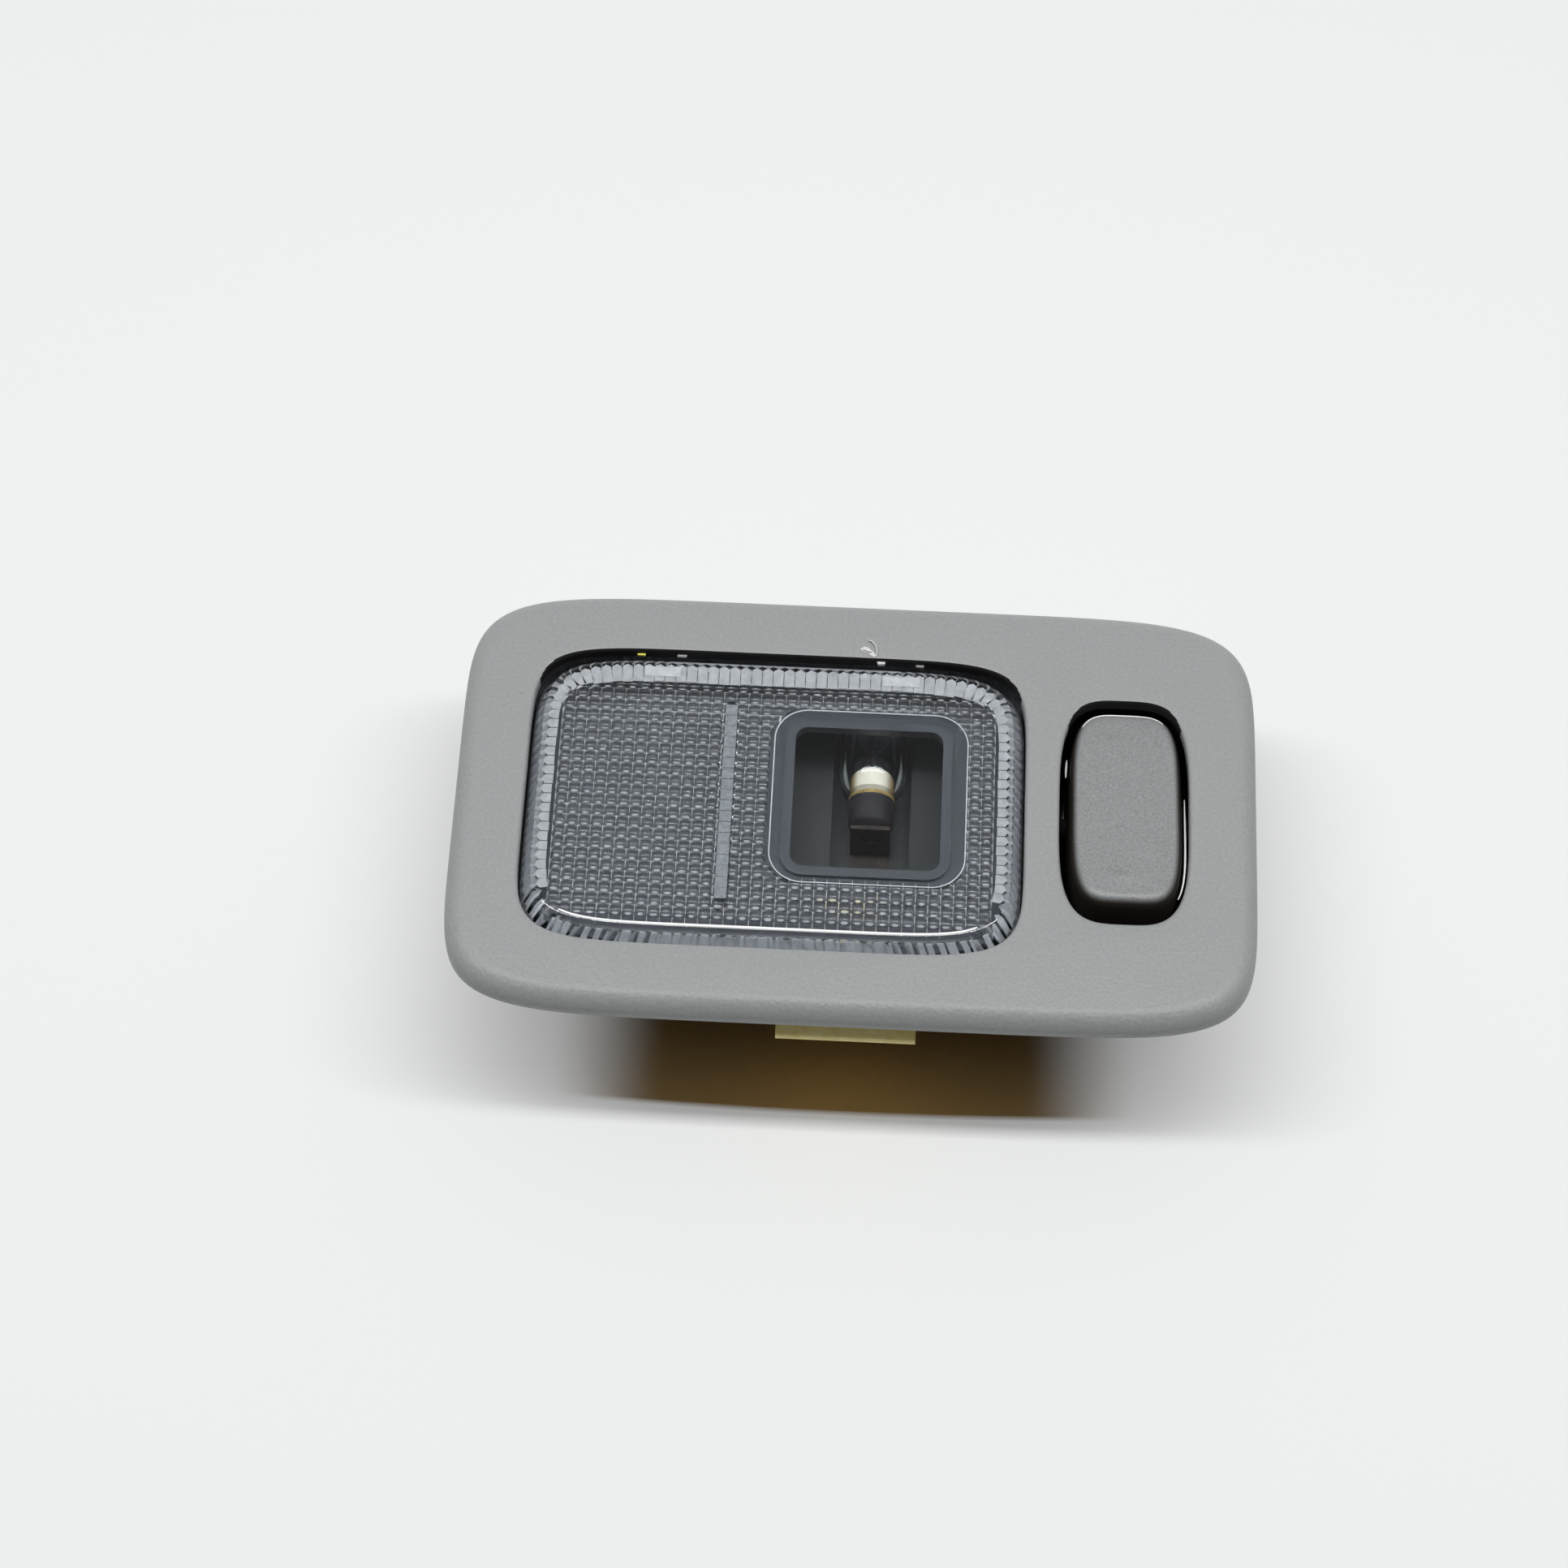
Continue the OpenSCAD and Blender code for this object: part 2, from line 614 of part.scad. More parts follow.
// Rear cover
module cover_outline(inset) {
    translate([(cover_near_x + cover_far_x) / 2, 0])
        rounded_rect(cover_far_x - cover_near_x - 2 * inset, cover_w - 2 * inset, 3 - inset);
    translate([bulb_x, (cover_w / 2 + trough_far + wall) / 2 - 3])
        square([trough_w + 2 * wall - 2 * inset, trough_far + wall - cover_w / 2 + 6 - 2 * inset], center = true);
}
module rear_cover() {
    color("#1b1c1e")
    difference() {
        union() {
            difference() {
                linear_extrude(cover_top) cover_outline(0);
                translate([0, 0, cover_wall]) linear_extrude(cover_top) cover_outline(cover_wall);
            }
            for (at = cover_screw_at) translate([at[0], at[1], 0]) cylinder(d = head_d + 3.4, h = pad_h);
        }
        translate([switch_x, switch_y, well_under - seat]) linear_extrude(cover_top) well_outline(wall + seat);
        block([bulb_x - trough_w / 2 - wall - seat, trough_near - wall - seat, trough_under - seat],
            [bulb_x + trough_w / 2 + wall + seat, trough_far + wall + 1, cover_top + 1]);
        block([cover_near_x - 1, -mouth_w / 2 - shroud_t, strip_z - seat],
            [cover_near_x + cover_wall + 1, mouth_w / 2 + shroud_t, cover_top + 1]);
        for (at = cover_screw_at) translate([at[0], at[1], 0]) {
            translate([0, 0, -1]) cylinder(d = head_d + 0.6, h = head_h + 1.4);
            translate([0, 0, -1]) cylinder(d = screw_d + 0.5, h = pad_h + 2);
        }
    }
}

// Rocker, drawn level about its pivot and then tipped to rest
function rocker_ring(inset, z) =
    ring(rocker_w - 2 * inset, rocker_l - 2 * inset, rocker_power, opening_points, z);
module at_rocker() {
    translate([switch_x, switch_y, pivot_z]) rotate([-rocker_tilt, 0, 0]) children();
}
module rocker() {
    skirt = -2;
    draft = 0.4;
    color("#8f9393")
    at_rocker() difference() {
        union() {
            difference() {
                loft(concat([rocker_ring(0, skirt), rocker_ring(0, 1)],
                    [for (t = [0 : 18 : 90]) rocker_ring(draft + rocker_r * (1 - cos(t)),
                        rocker_top - rocker_r + rocker_r * sin(t))]));
                loft([rocker_ring(rocker_t, skirt - 1), rocker_ring(rocker_t + draft, rocker_top - rocker_r - 0.4),
                    rocker_ring(rocker_t + draft + 1, rocker_top - rocker_t)]);
            }
            translate([0, 0, -post_end]) cylinder(d = post_d, h = post_end + rocker_top - rocker_t / 2);
        }
        for (side = [-1, 1]) translate([side * (rocker_w / 2 - rocker_t - 1), 0, 0]) rotate([0, side * 90, 0])
            cylinder(d = bearing_d, h = rocker_t + 2);
        translate([0, 0, -post_end - 1]) cylinder(d = bore_d, h = post_end + 1 + bore_top);
    }
}
plunger_top = -1;
module detent_plunger() {
    tip_r = plunger_d / 2;
    color("#d8d8d0")
    at_rocker() union() {
        translate([0, 0, -plunger_reach + tip_r]) cylinder(r = tip_r, h = plunger_reach - tip_r + plunger_top);
        translate([0, 0, -plunger_reach + tip_r]) sphere(tip_r);
    }
}
module detent_spring() {
    wire = 0.35;
    turns = 6;
    per_turn = 10;
    sides = 8;
    low = plunger_top + wire / 2 + 0.03;
    high = bore_top - wire / 2 - 0.03;
    coil_r = (bore_d - wire) / 2 - running;
    color("#b8bcc0")
    at_rocker() loft([for (i = [0 : turns * per_turn])
        let (a = 360 * i / per_turn)
        let (middle = [coil_r * cos(a), coil_r * sin(a), low + (high - low) * i / (turns * per_turn)])
        [for (k = [0 : sides - 1])
            let (b = 360 * k / sides)
            middle + wire / 2 * [sin(b) * cos(a), sin(b) * sin(a), cos(b)]]]);
}

// See-saw contact, its posts and the strips
riser_at = [switch_y - pad_y, switch_y, switch_y + pad_y];
module contact_rocker() {
    run = arm_l * cos(arm_rise);
    rise = arm_l * sin(arm_rise);
    level = contact_z + contact_t / 2;
    color("#c9a24a")
    translate([0, switch_y, contact_z]) rotate([arm_rise, 0, 0]) translate([0, -switch_y, -contact_z])
        along_x(switch_x, arm_w) polygon(ribbon([
            [switch_y - run, level + rise], [switch_y, level], [switch_y + run, level + rise]], contact_t));
}
module contact_buttons() {
    color("#d4d6d8")
    for (side = [-1, 1]) translate([switch_x, switch_y + side * pad_y, pad_top])
        cylinder(d1 = button_d, d2 = button_d - 0.6, h = button_h);
}
module flat_strip(points) {
    translate([0, 0, strip_z]) linear_extrude(strip_t) polygon(ribbon(points, strip_w));
}
module riser(x, y, w, high) {
    block([x - w / 2, y - strip_t / 2, strip_z], [x + w / 2, y + strip_t / 2, high]);
}
module leaf(y, foot) {
    difference() {
        block([bulb_x - leaf_w / 2, y, foot], [bulb_x + leaf_w / 2, y + strip_t, leaf_top]);
        translate([bulb_x, y - 1, bulb_z]) rotate([-90, 0, 0]) cylinder(d = leaf_hole_d, h = strip_t + 2);
    }
}
blade_tip = shroud_far - wall - blade_l;
module strip_supply() {
    y = far_leaf_y + strip_t / 2;
    color("#b8913c") union() {
        flat_strip([[blade_tip, blade_pitch], [bulb_x, blade_pitch], [bulb_x, y + strip_t / 2]]);
        block([bulb_x - leaf_w / 2, y - 4, strip_z], [bulb_x + leaf_w / 2, y + strip_t / 2, strip_z + strip_t]);
        leaf(far_leaf_y, strip_z);
    }
}
module strip_lamp() {
    rest = trough_floor + 0.05;
    color("#b8913c") union() {
        leaf(near_leaf_y - strip_t, rest);
        block([bulb_x - leaf_w / 2, riser_y - strip_t / 2, rest],
            [bulb_x + leaf_w / 2, near_leaf_y, rest + strip_t]);
        riser(bulb_x, riser_y, leaf_w, rest + strip_t);
        flat_strip([[bulb_x - leaf_w / 2, riser_y], [lamp_run_x, riser_y], [lamp_run_x, switch_y], [switch_x + arm_w / 2, switch_y]]);
        riser(switch_x, switch_y, arm_w, contact_z - 0.1);
    }
}
module pad_strip(side, points) {
    y = switch_y + side * pad_y;
    color("#b8913c") union() {
        flat_strip(points);
        riser(switch_x, y, arm_w, pad_top);
        block([switch_x - arm_w / 2, y - 1.4, pad_top - strip_t], [switch_x + arm_w / 2, y + 1.4, pad_top]);
    }
}
module strip_door() {
    pad_strip(1, [[blade_tip, 0], [door_run_x, 0], [door_run_x, switch_y + pad_y], [switch_x + arm_w / 2, switch_y + pad_y]]);
}
module strip_earth() {
    pad_strip(-1, [[blade_tip, -blade_pitch], [earth_run_x, -blade_pitch], [earth_run_x, earth_run_y],
        [earth_turn_x, earth_run_y], [earth_turn_x, switch_y - pad_y], [switch_x + arm_w / 2, switch_y - pad_y]]);
}

// Bulb, drawn along Z from its near tip and laid along Y
module at_bulb() {
    translate([bulb_x, bulb_near, bulb_z]) rotate([-90, 0, 0]) children();
}
function shoulder(r_neck, r_body, start, flip) = [for (t = [0 : 15 : 90])
    [r_neck + (r_body - r_neck) * sin(t), start + flip * shoulder_l * (1 - cos(t))]];
module glass_profile(inset) {
    r_body = bulb_d / 2 - inset;
    r_neck = neck_d / 2 - inset;
    neck_in = 3;
    near = shoulder(r_neck, r_body, cap_l + inset, 1);
    far = shoulder(r_neck, r_body, bulb_l - cap_l - inset, -1);
    polygon(concat([[0, cap_l - neck_in], [r_neck, cap_l - neck_in]], near,
        [for (i = [len(far) - 1 : -1 : 0]) far[i]],
        [[r_neck, bulb_l - cap_l + neck_in], [0, bulb_l - cap_l + neck_in]]));
}
module bulb_glass() {
    color("#dfe6ea", 0.35)
    at_bulb() rotate_extrude() difference() {
        glass_profile(0);
        glass_profile(glass_t);
    }
}
module bulb_cap() {
    rotate_extrude() polygon([[0, 0], [cap_tip_d / 2, 0], [cap_d / 2, cap_cone], [cap_d / 2, cap_l - 0.1],
        [cap_d / 2 - cap_t, cap_l - 0.1], [cap_d / 2 - cap_t, cap_cone + 0.3], [0, cap_cone + 0.3]]);
}
module bulb_cap_near() {
    color("#a9a49c") at_bulb() bulb_cap();
}
module bulb_cap_far() {
    color("#a9a49c") at_bulb() translate([0, 0, bulb_l]) rotate([180, 0, 0]) bulb_cap();
}
wire_r = 0.25;
wire_start = cap_cone + 0.5;
stem_end = cap_l + stem_reach;
stem_r = 3.2;
module bulb_stem() {
    foot_r = neck_d / 2 - glass_t - 0.1;
    bore_r = wire_r + running;
    dome = [for (t = [0 : 15 : 75]) [stem_r * cos(t), stem_end - 2 + 2 * sin(t)]];
    color("#e6dcc4") at_bulb() rotate_extrude() polygon(concat(
        [[bore_r, wire_start], [foot_r, wire_start], [foot_r, cap_l + 0.6], [stem_r, cap_l + 1.2]],
        dome, [[bore_r, stem_end]]));
}
filament_l = 7;
filament_start = stem_end + 1;
module lead_wires() {
    color("#8c8f92") at_bulb() {
        translate([0, 0, wire_start]) cylinder(r = wire_r, h = filament_start - wire_start - 0.05, $fn = 24);
        translate([0, 0, filament_start + filament_l + 0.05])
            cylinder(r = wire_r, h = bulb_l - wire_start - filament_start - filament_l - 0.05, $fn = 24);
    }
}
module filament() {
    color("#55585c") at_bulb() translate([0, 0, filament_start]) cylinder(r = 0.45, h = filament_l, $fn = 24);
}

// Spring clip on the near side
function arc(cy, cz, r, from, to, steps) =
    [for (i = [0 : steps]) let (a = from + (to - from) * i / steps) [cy + r * cos(a), cz + r * sin(a)]];
module spring_clip() {
    leg_y = -collar_w / 2 - wall - clip_t / 2 - 0.05;
    apex = [-clip_reach + clip_t / 2 + 0.4, face_z - clip_depth];
    foot_r = 1.1;
    foot_z = tray_under + foot_r - 1.2;
    lip = [leg_y - 1.6, face_z - rim_h - 1];
    color("#d8b45a")
    along_x(0, clip_w) polygon(ribbon(concat(
        [[leg_y, flange_under - 0.4]],
        arc(leg_y - foot_r, foot_z, foot_r, 0, -150, 6),
        arc(apex[0] + 0.6, apex[1], 0.8, 210, 130, 4),
        [lip]), clip_t));
}

// Screws, drawn with the head below
module screw(shank_l) {
    difference() {
        union() {
            cylinder(d1 = head_d - 1, d2 = head_d, h = 0.5);
            translate([0, 0, 0.5]) cylinder(d = head_d, h = head_h - 0.5);
            translate([0, 0, head_h - eps]) cylinder(d = screw_d, h = shank_l);
        }
        for (a = [0, 90]) rotate([0, 0, a]) translate([0, 0, 0.3]) cube([3, 0.8, 1.4], center = true);
    }
}
module bezel_screws() {
    color("#8a8a85")
    for_bezel_screws() translate([0, 0, flange_under - head_h - 0.05]) screw(bezel_screw_l);
}
module cover_screws() {
    color("#8a8a85")
    for (at = cover_screw_at) translate([at[0], at[1], 0.35]) screw(cover_screw_l);
}

bezel();
lens();
light_mask();
lamp_housing();
lamp_tray();
rear_cover();
rocker();
detent_plunger();
detent_spring();
contact_rocker();
contact_buttons();
strip_supply();
strip_lamp();
strip_door();
strip_earth();
bulb_glass();
bulb_cap_near();
bulb_cap_far();
bulb_stem();
lead_wires();
filament();
spring_clip();
bezel_screws();
cover_screws();
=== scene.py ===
"""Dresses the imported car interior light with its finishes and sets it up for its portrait.

Every piece is in metres, in the lamp's own frame: X from the lens towards the rocker, Y away from
the spring clip, Z out of the face.
"""
import json
import math
import random

import bmesh
import bpy
from bpy.props import FloatProperty, FloatVectorProperty, IntProperty, PointerProperty
from bpy.types import Operator, Panel, PropertyGroup
from mathutils import Matrix, Vector


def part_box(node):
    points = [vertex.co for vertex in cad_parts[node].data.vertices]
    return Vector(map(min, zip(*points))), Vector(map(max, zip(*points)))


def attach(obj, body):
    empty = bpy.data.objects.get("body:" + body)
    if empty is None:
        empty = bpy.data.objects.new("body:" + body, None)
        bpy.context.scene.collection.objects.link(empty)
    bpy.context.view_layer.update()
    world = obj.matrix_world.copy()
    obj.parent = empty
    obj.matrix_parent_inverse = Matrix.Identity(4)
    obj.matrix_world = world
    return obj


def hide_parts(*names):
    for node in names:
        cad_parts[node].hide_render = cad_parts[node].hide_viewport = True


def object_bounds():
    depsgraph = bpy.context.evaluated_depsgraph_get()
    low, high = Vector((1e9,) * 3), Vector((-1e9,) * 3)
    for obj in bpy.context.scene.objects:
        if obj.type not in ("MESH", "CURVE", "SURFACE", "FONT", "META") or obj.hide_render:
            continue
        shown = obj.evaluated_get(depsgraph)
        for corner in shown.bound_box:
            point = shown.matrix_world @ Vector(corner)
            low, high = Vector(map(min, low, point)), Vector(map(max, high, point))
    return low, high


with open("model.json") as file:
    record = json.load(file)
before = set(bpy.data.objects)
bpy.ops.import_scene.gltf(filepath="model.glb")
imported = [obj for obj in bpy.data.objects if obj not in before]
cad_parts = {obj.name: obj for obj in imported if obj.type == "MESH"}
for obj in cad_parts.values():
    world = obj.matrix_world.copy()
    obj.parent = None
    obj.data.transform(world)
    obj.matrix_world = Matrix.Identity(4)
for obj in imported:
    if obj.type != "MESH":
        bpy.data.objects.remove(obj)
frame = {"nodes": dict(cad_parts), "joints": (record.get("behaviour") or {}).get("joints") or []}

bl_info = {
    "name": "Car Interior Light",
    "version": (1, 0, 0),
    "blender": (4, 5, 0),
    "location": "View3D > Sidebar > Interior Light",
    "description": "Builds the finished pieces of a car interior light round its packed frame",
    "category": "Object",
}

MM = 0.001
RIB_Y = -0.5 * MM
TAB_X = (-29.2 * MM, 6.1 * MM)
CAD_BOX = [list(corner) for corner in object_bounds()]
BEZEL_LOW, BEZEL_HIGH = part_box("bezel")
LENS_LOW, LENS_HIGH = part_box("lens")
GLASS_LOW, GLASS_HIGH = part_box("bulb_glass")
CAP_LOW, CAP_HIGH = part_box("bulb_cap_near")
FAR_CAP_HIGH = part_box("bulb_cap_far")[1]
FILAMENT_LOW, FILAMENT_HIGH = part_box("filament")
BULB_X = (GLASS_LOW[0] + GLASS_HIGH[0]) / 2
BULB_LENGTH = FAR_CAP_HIGH[1] - CAP_LOW[1]
FACE_Z = BEZEL_HIGH[2]
ROCKER_JOINT = next(j for j in frame["joints"] if j["name"] == "rocker_tilt")
PIVOT = Vector(ROCKER_JOINT["pos_m"])


def length(name, description, default, high=1.0):
    """A size in metres that a user may change."""
    return FloatProperty(name=name, description=description, default=default, min=0.0, max=high,
                         subtype="DISTANCE", unit="LENGTH", precision=5)


def colour(name, description, default):
    """A colour in linear light that a user may change."""
    return FloatVectorProperty(name=name, description=description, default=default, size=3,
                               min=0.0, max=1.0, subtype="COLOR")


def share(name, description, default, high=1.0):
    """A plain factor that a user may change."""
    return FloatProperty(name=name, description=description, default=default, min=0.0, max=high,
                         subtype="FACTOR")


class BezelSettings(PropertyGroup):
    """Sizes and finish of the grained bezel."""

    colour: colour("Bezel colour", "Cool grey of the moulded bezel", (0.295, 0.303, 0.306))
    roughness: share("Roughness", "How dull the grained plastic is", 0.44)
    grain_size: length("Grain size", "Width of one grain of the moulded texture", 0.0005)
    grain_depth: length("Grain depth", "Height of the moulded texture", 0.00006)
    power: FloatProperty(name="Squareness", description="Power of the bezel's outline", default=7.0)
    rim_height: length("Rim height", "Height of the rim from its foot to the face", 0.0042)
    rim_thickness: length("Rim thickness", "Thickness of the rim", 0.002)
    face_thickness: length("Face thickness", "Thickness of the bezel's face", 0.0018)
    roll: length("Roll", "Radius of the roll from the face into the rim", 0.0029)
    lip: length("Lip", "Radius of the lip round the openings", 0.0006)
    lens_gap: length("Lens gap", "Gap between the lens and its opening", 0.0002)
    switch_length: length("Switch opening length", "Length of the opening round the rocker", 0.0382)
    switch_width: length("Switch opening width", "Width of the opening round the rocker", 0.01935)
    switch_shift: FloatProperty(name="Switch shift", description="Place of that opening past the pivot",
                                default=-0.00015, unit="LENGTH")
    switch_power: FloatProperty(name="Switch squareness", description="Power of the switch opening",
                                default=3.6)
    boss: length("Boss", "Diameter of the four screw bosses", 0.006)
    boss_root: length("Boss root", "How far each boss reaches up into the face", 0.0006)
    pilot: length("Pilot", "Diameter of the pilot holes in the bosses", 0.0027)
    boss_span_x: length("Boss spacing along", "Distance between the bosses along the lamp", 0.104)
    boss_span_y: length("Boss spacing across", "Distance between the bosses across the lamp", 0.055)


class LensSettings(PropertyGroup):
    """Sizes and finish of the clear lens."""

    tint: colour("Tint", "Colour of the clear plastic", (0.92, 0.95, 0.985))
    roughness: share("Roughness", "How much the moulded plastic scatters", 0.04)
    wall_frost: share("Wall frost", "How milky the fluted walls look", 0.5)
    base_length: length("Base length", "Length of the lens at its foot", 0.0744)
    base_width: length("Base width", "Width of the lens at its foot", 0.0502)
    middle_x: FloatProperty(name="Middle", description="Middle of the lens along the lamp",
                            default=-0.0121, unit="LENGTH")
    power: FloatProperty(name="Squareness", description="Power of the lens's outline", default=7.0)
    shoulder: length("Shoulder", "Depth below the face at which the walls start to lean", 0.004)
    lean: length("Lean", "How far the walls lean in from foot to top", 0.0026)
    edge: length("Edge", "Radius of the lens's top edge", 0.0011)
    wall: length("Wall", "Thickness of the walls", 0.0014)
    top: length("Top", "Thickness of the top", 0.0022)
    pitch: length("Prism pitch", "Spacing of the cells under the top", 0.00187)
    prism: length("Prism height", "Depth of each pillow-shaped cell", 0.00055)
    field_margin: length("Field margin", "Room left round the field of cells, both sides together", 0.0004)
    # The net line is a painted highlight along each crease between two cells.
    net: length("Net line", "Width of the pale crease between two cells", 0.00026)
    field_step: length("Field step", "Height of the step round the field of cells", 0.00025)
    flute_pitch: length("Flute pitch", "Spacing of the flutes inside the walls", 0.00185)
    flute: length("Flute depth", "Depth of the flutes", 0.00045)
    window: length("Window", "Side of the plain square window", 0.0298)
    window_corner: length("Window corner", "Corner radius of the window", 0.005)
    window_x: FloatProperty(name="Window middle", description="Middle of the window along the lamp",
                            default=0.0017, unit="LENGTH")
    window_y: FloatProperty(name="Window offset", description="Middle of the window across the lamp",
                            default=0.0013, unit="LENGTH")
    window_step: length("Window step", "Height of the step round the window", 0.0005)
    # The outline is a painted highlight round the window.
    outline: length("Outline", "Width of the frosted line round the window", 0.00016)
    # The side and far bands are painted light that stands in for light seen through the fluted walls.
    side_band: length("Side band", "Width of the pale band beside the cells", 0.0014)
    far_band: length("Far band", "Width of the pale band beyond the cells", 0.0029)
    rib_x: FloatProperty(name="Rib middle", description="Middle of the rib along the lamp",
                         default=-0.0193, unit="LENGTH")
    rib_thickness: length("Rib thickness", "Thickness of the rib", 0.0019)
    rib_height: length("Rib height", "Height of the rib", 0.0015)
    rib_length: length("Rib length", "Length of the rib", 0.035)
    tab_width: length("Tab width", "Width of each snap tab", 0.0064)
    tab_reach: length("Tab reach", "How far each tab stands out", 0.0008)
    tab_height: length("Tab height", "Height of each tab", 0.0018)


class RockerSettings(PropertyGroup):
    """Sizes and finish of the rocker switch."""

    colour: colour("Rocker colour", "Grey of the rocker", (0.245, 0.254, 0.256))
    roughness: share("Roughness", "How dull the rocker is", 0.4)
    length: length("Length", "Length of the rocker", 0.037)
    width: length("Width", "Width of the rocker", 0.0175)
    offset: length("Offset", "How far the rocker sits from the middle of its well", 0.00025)
    power: FloatProperty(name="Squareness", description="Power of the rocker's outline", default=4.2)
    top: length("Top", "Height of the rocker's face above its pivot", 0.0068)
    skirt: length("Skirt", "Depth of the rocker's skirt below its pivot", 0.002)
    draft: length("Draft", "How far the walls lean in towards the face", 0.0004)
    edge: length("Edge", "Radius of the rounded top edge", 0.0018)
    wall: length("Wall", "Thickness of the rocker's walls", 0.0015)
    tilt: FloatProperty(name="Tilt", description="Tilt of the pressed rocker", subtype="ANGLE",
                        default=math.radians(7.65))
    post: length("Post", "Diameter of the plunger's post", 0.0055)
    post_end: length("Post end", "Depth of the post's end below the pivot", 0.005)
    bore: length("Bore", "Diameter of the plunger's bore", 0.0026)
    bore_top: length("Bore top", "Height of the bore's end above the pivot", 0.004)
    bearing: length("Bearing", "Diameter of the pivot bores in the side walls", 0.0033)


class HousingSettings(PropertyGroup):
    """Finishes of the parts behind the bezel."""

    black: colour("Housing black", "Black of the housing and its cover", (0.012, 0.012, 0.013))
    mask: colour("Mask grey", "Dark grey of the mask under the lens", (0.050, 0.055, 0.061))
    # Painted shade: the brass is darkened to the shade the strips and contact lie in.
    brass: colour("Brass", "Colour of the strips and the see-saw contact", (0.075, 0.062, 0.052))
    plating: colour("Plating", "Colour of the plated metal", (0.46, 0.45, 0.43))
    softening: length("Softening", "Width of the softened edges of moulded pieces", 0.0002)


class BulbSettings(PropertyGroup):
    """Sizes and finish of the tubular bulb."""

    glass: colour("Glass", "Colour of the bulb's glass", (0.96, 0.98, 1.0))
    # The stem's bright cream is partly a painted highlight of the glass's near shoulder.
    stem: colour("Stem", "Cream colour of the glass stem in the bulb's near end", (0.95, 0.84, 0.62))
    # Painted shade: the caps' near-black colour stands in for the shade they lie in.
    cap: colour("Cap", "Colour of the bulb's metal caps", (0.022, 0.019, 0.022))
    wall: length("Wall", "Thickness of the bulb's glass", 0.0005)
    cap_length: length("Cap length", "Length of each cap", 0.0062)
    neck: length("Neck", "Diameter of the glass inside the caps", 0.006)
    shoulder: length("Shoulder", "Length of each rounded shoulder of the glass", 0.005)
    stem_radius: length("Stem radius", "Radius of the stem inside the glass", 0.0032)
    stem_reach: length("Stem reach", "How far the stem reaches past the cap", 0.0051)
    coil_turns: IntProperty(name="Coil turns", description="Turns of the filament", default=26)


class ClipSettings(PropertyGroup):
    """Finish of the spring clip."""

    gold: colour("Gold", "Yellow passivated colour of the spring clip", (1.0, 0.86, 0.40))
    dark_gold: colour("Dark gold", "Darker mottling of the spring clip", (0.86, 0.68, 0.24))
    softening: length("Softening", "Width of the softened edges of the clip", 0.0001)


class StageSettings(PropertyGroup):
    """Floor, lamps and camera."""

    floor: colour("Floor", "Colour of the pale floor", (0.765, 0.785, 0.775))
    lift: share("Lift", "How much the floor's soft shadows are lifted", 0.28)
    key_power: FloatProperty(name="Softbox power", description="Power of the overhead softbox",
                             default=9.0, unit="POWER")
    key_height: length("Softbox height", "Height of the softbox above the floor", 0.9, high=5.0)
    key_length: length("Softbox length", "Length of the softbox along the lamp", 1.5, high=5.0)
    key_width: length("Softbox width", "Width of the softbox across the lamp", 0.08, high=5.0)
    key_y: FloatProperty(name="Softbox offset", description="How far behind the lamp the softbox is",
                         default=0.06, unit="LENGTH")
    world: share("World", "Strength of the light from above and behind", 0.45, high=2.0)
    near_share: share("Near share", "Share of that light that comes from low on the near side", 0.02)
    lens_mm: FloatProperty(name="Focal length", description="Focal length of the camera",
                           default=93.17, unit="CAMERA")
    distance: length("Distance", "Distance of the camera from its aim", 0.60678, high=5.0)
    elevation: FloatProperty(name="Elevation", description="Camera angle above the floor",
                             default=math.radians(58.94), subtype="ANGLE")
    yaw: FloatProperty(name="Yaw", description="Camera turn about the lamp",
                       default=math.radians(2.108), subtype="ANGLE")
    roll: FloatProperty(name="Roll", description="Camera roll", default=math.radians(0.7074),
                        subtype="ANGLE")
    aim: FloatVectorProperty(name="Aim", description="Point that the camera looks at", size=3,
                             default=(-0.010807, 0.002560, FACE_Z), subtype="XYZ", unit="LENGTH")


class LightSettings(PropertyGroup):
    """All the groups of settings."""

    bezel: PointerProperty(type=BezelSettings)
    lens: PointerProperty(type=LensSettings)
    rocker: PointerProperty(type=RockerSettings)
    housing: PointerProperty(type=HousingSettings)
    bulb: PointerProperty(type=BulbSettings)
    clip: PointerProperty(type=ClipSettings)
    stage: PointerProperty(type=StageSettings)


# Mesh helpers


def outline(size_x, size_y, power, count):
    """Evenly spaced points, counter-clockwise, round an outline whose sides bow gently."""
    dense = 4096
    raw = []
    for k in range(dense + 1):
        c, s = math.cos(2 * math.pi * k / dense), math.sin(2 * math.pi * k / dense)
        raw.append((size_x / 2 * math.copysign(abs(c) ** (2 / power), c),
                    size_y / 2 * math.copysign(abs(s) ** (2 / power), s)))
    run = [0.0]
    for a, b in zip(raw, raw[1:]):
        run.append(run[-1] + math.dist(a, b))
    points, k = [], 0
    for i in range(count):
        want = run[-1] * i / count
        while run[k + 1] <= want:
            k += 1
        t = (want - run[k]) / (run[k + 1] - run[k])
        points.append(tuple(a + (b - a) * t for a, b in zip(raw[k], raw[k + 1])))
    return points


def pushed(points, amounts):
    """The points of an outline moved along its outward normal."""
    moved = []
    for k, p in enumerate(points):
        before, after = points[k - 1], points[(k + 1) % len(points)]
        along = Vector((after[0] - before[0], after[1] - before[1])).normalized()
        moved.append((p[0] + along.y * amounts[k], p[1] - along.x * amounts[k]))
    return moved


def at(points, z, middle=(0.0, 0.0)):
    """An outline's points at one height, about a middle."""
    return [(x + middle[0], y + middle[1], z) for x, y in points]


def in_mm(points):
    """Points given in millimetres, in metres."""
    return [tuple(c * MM for c in p) for p in points]


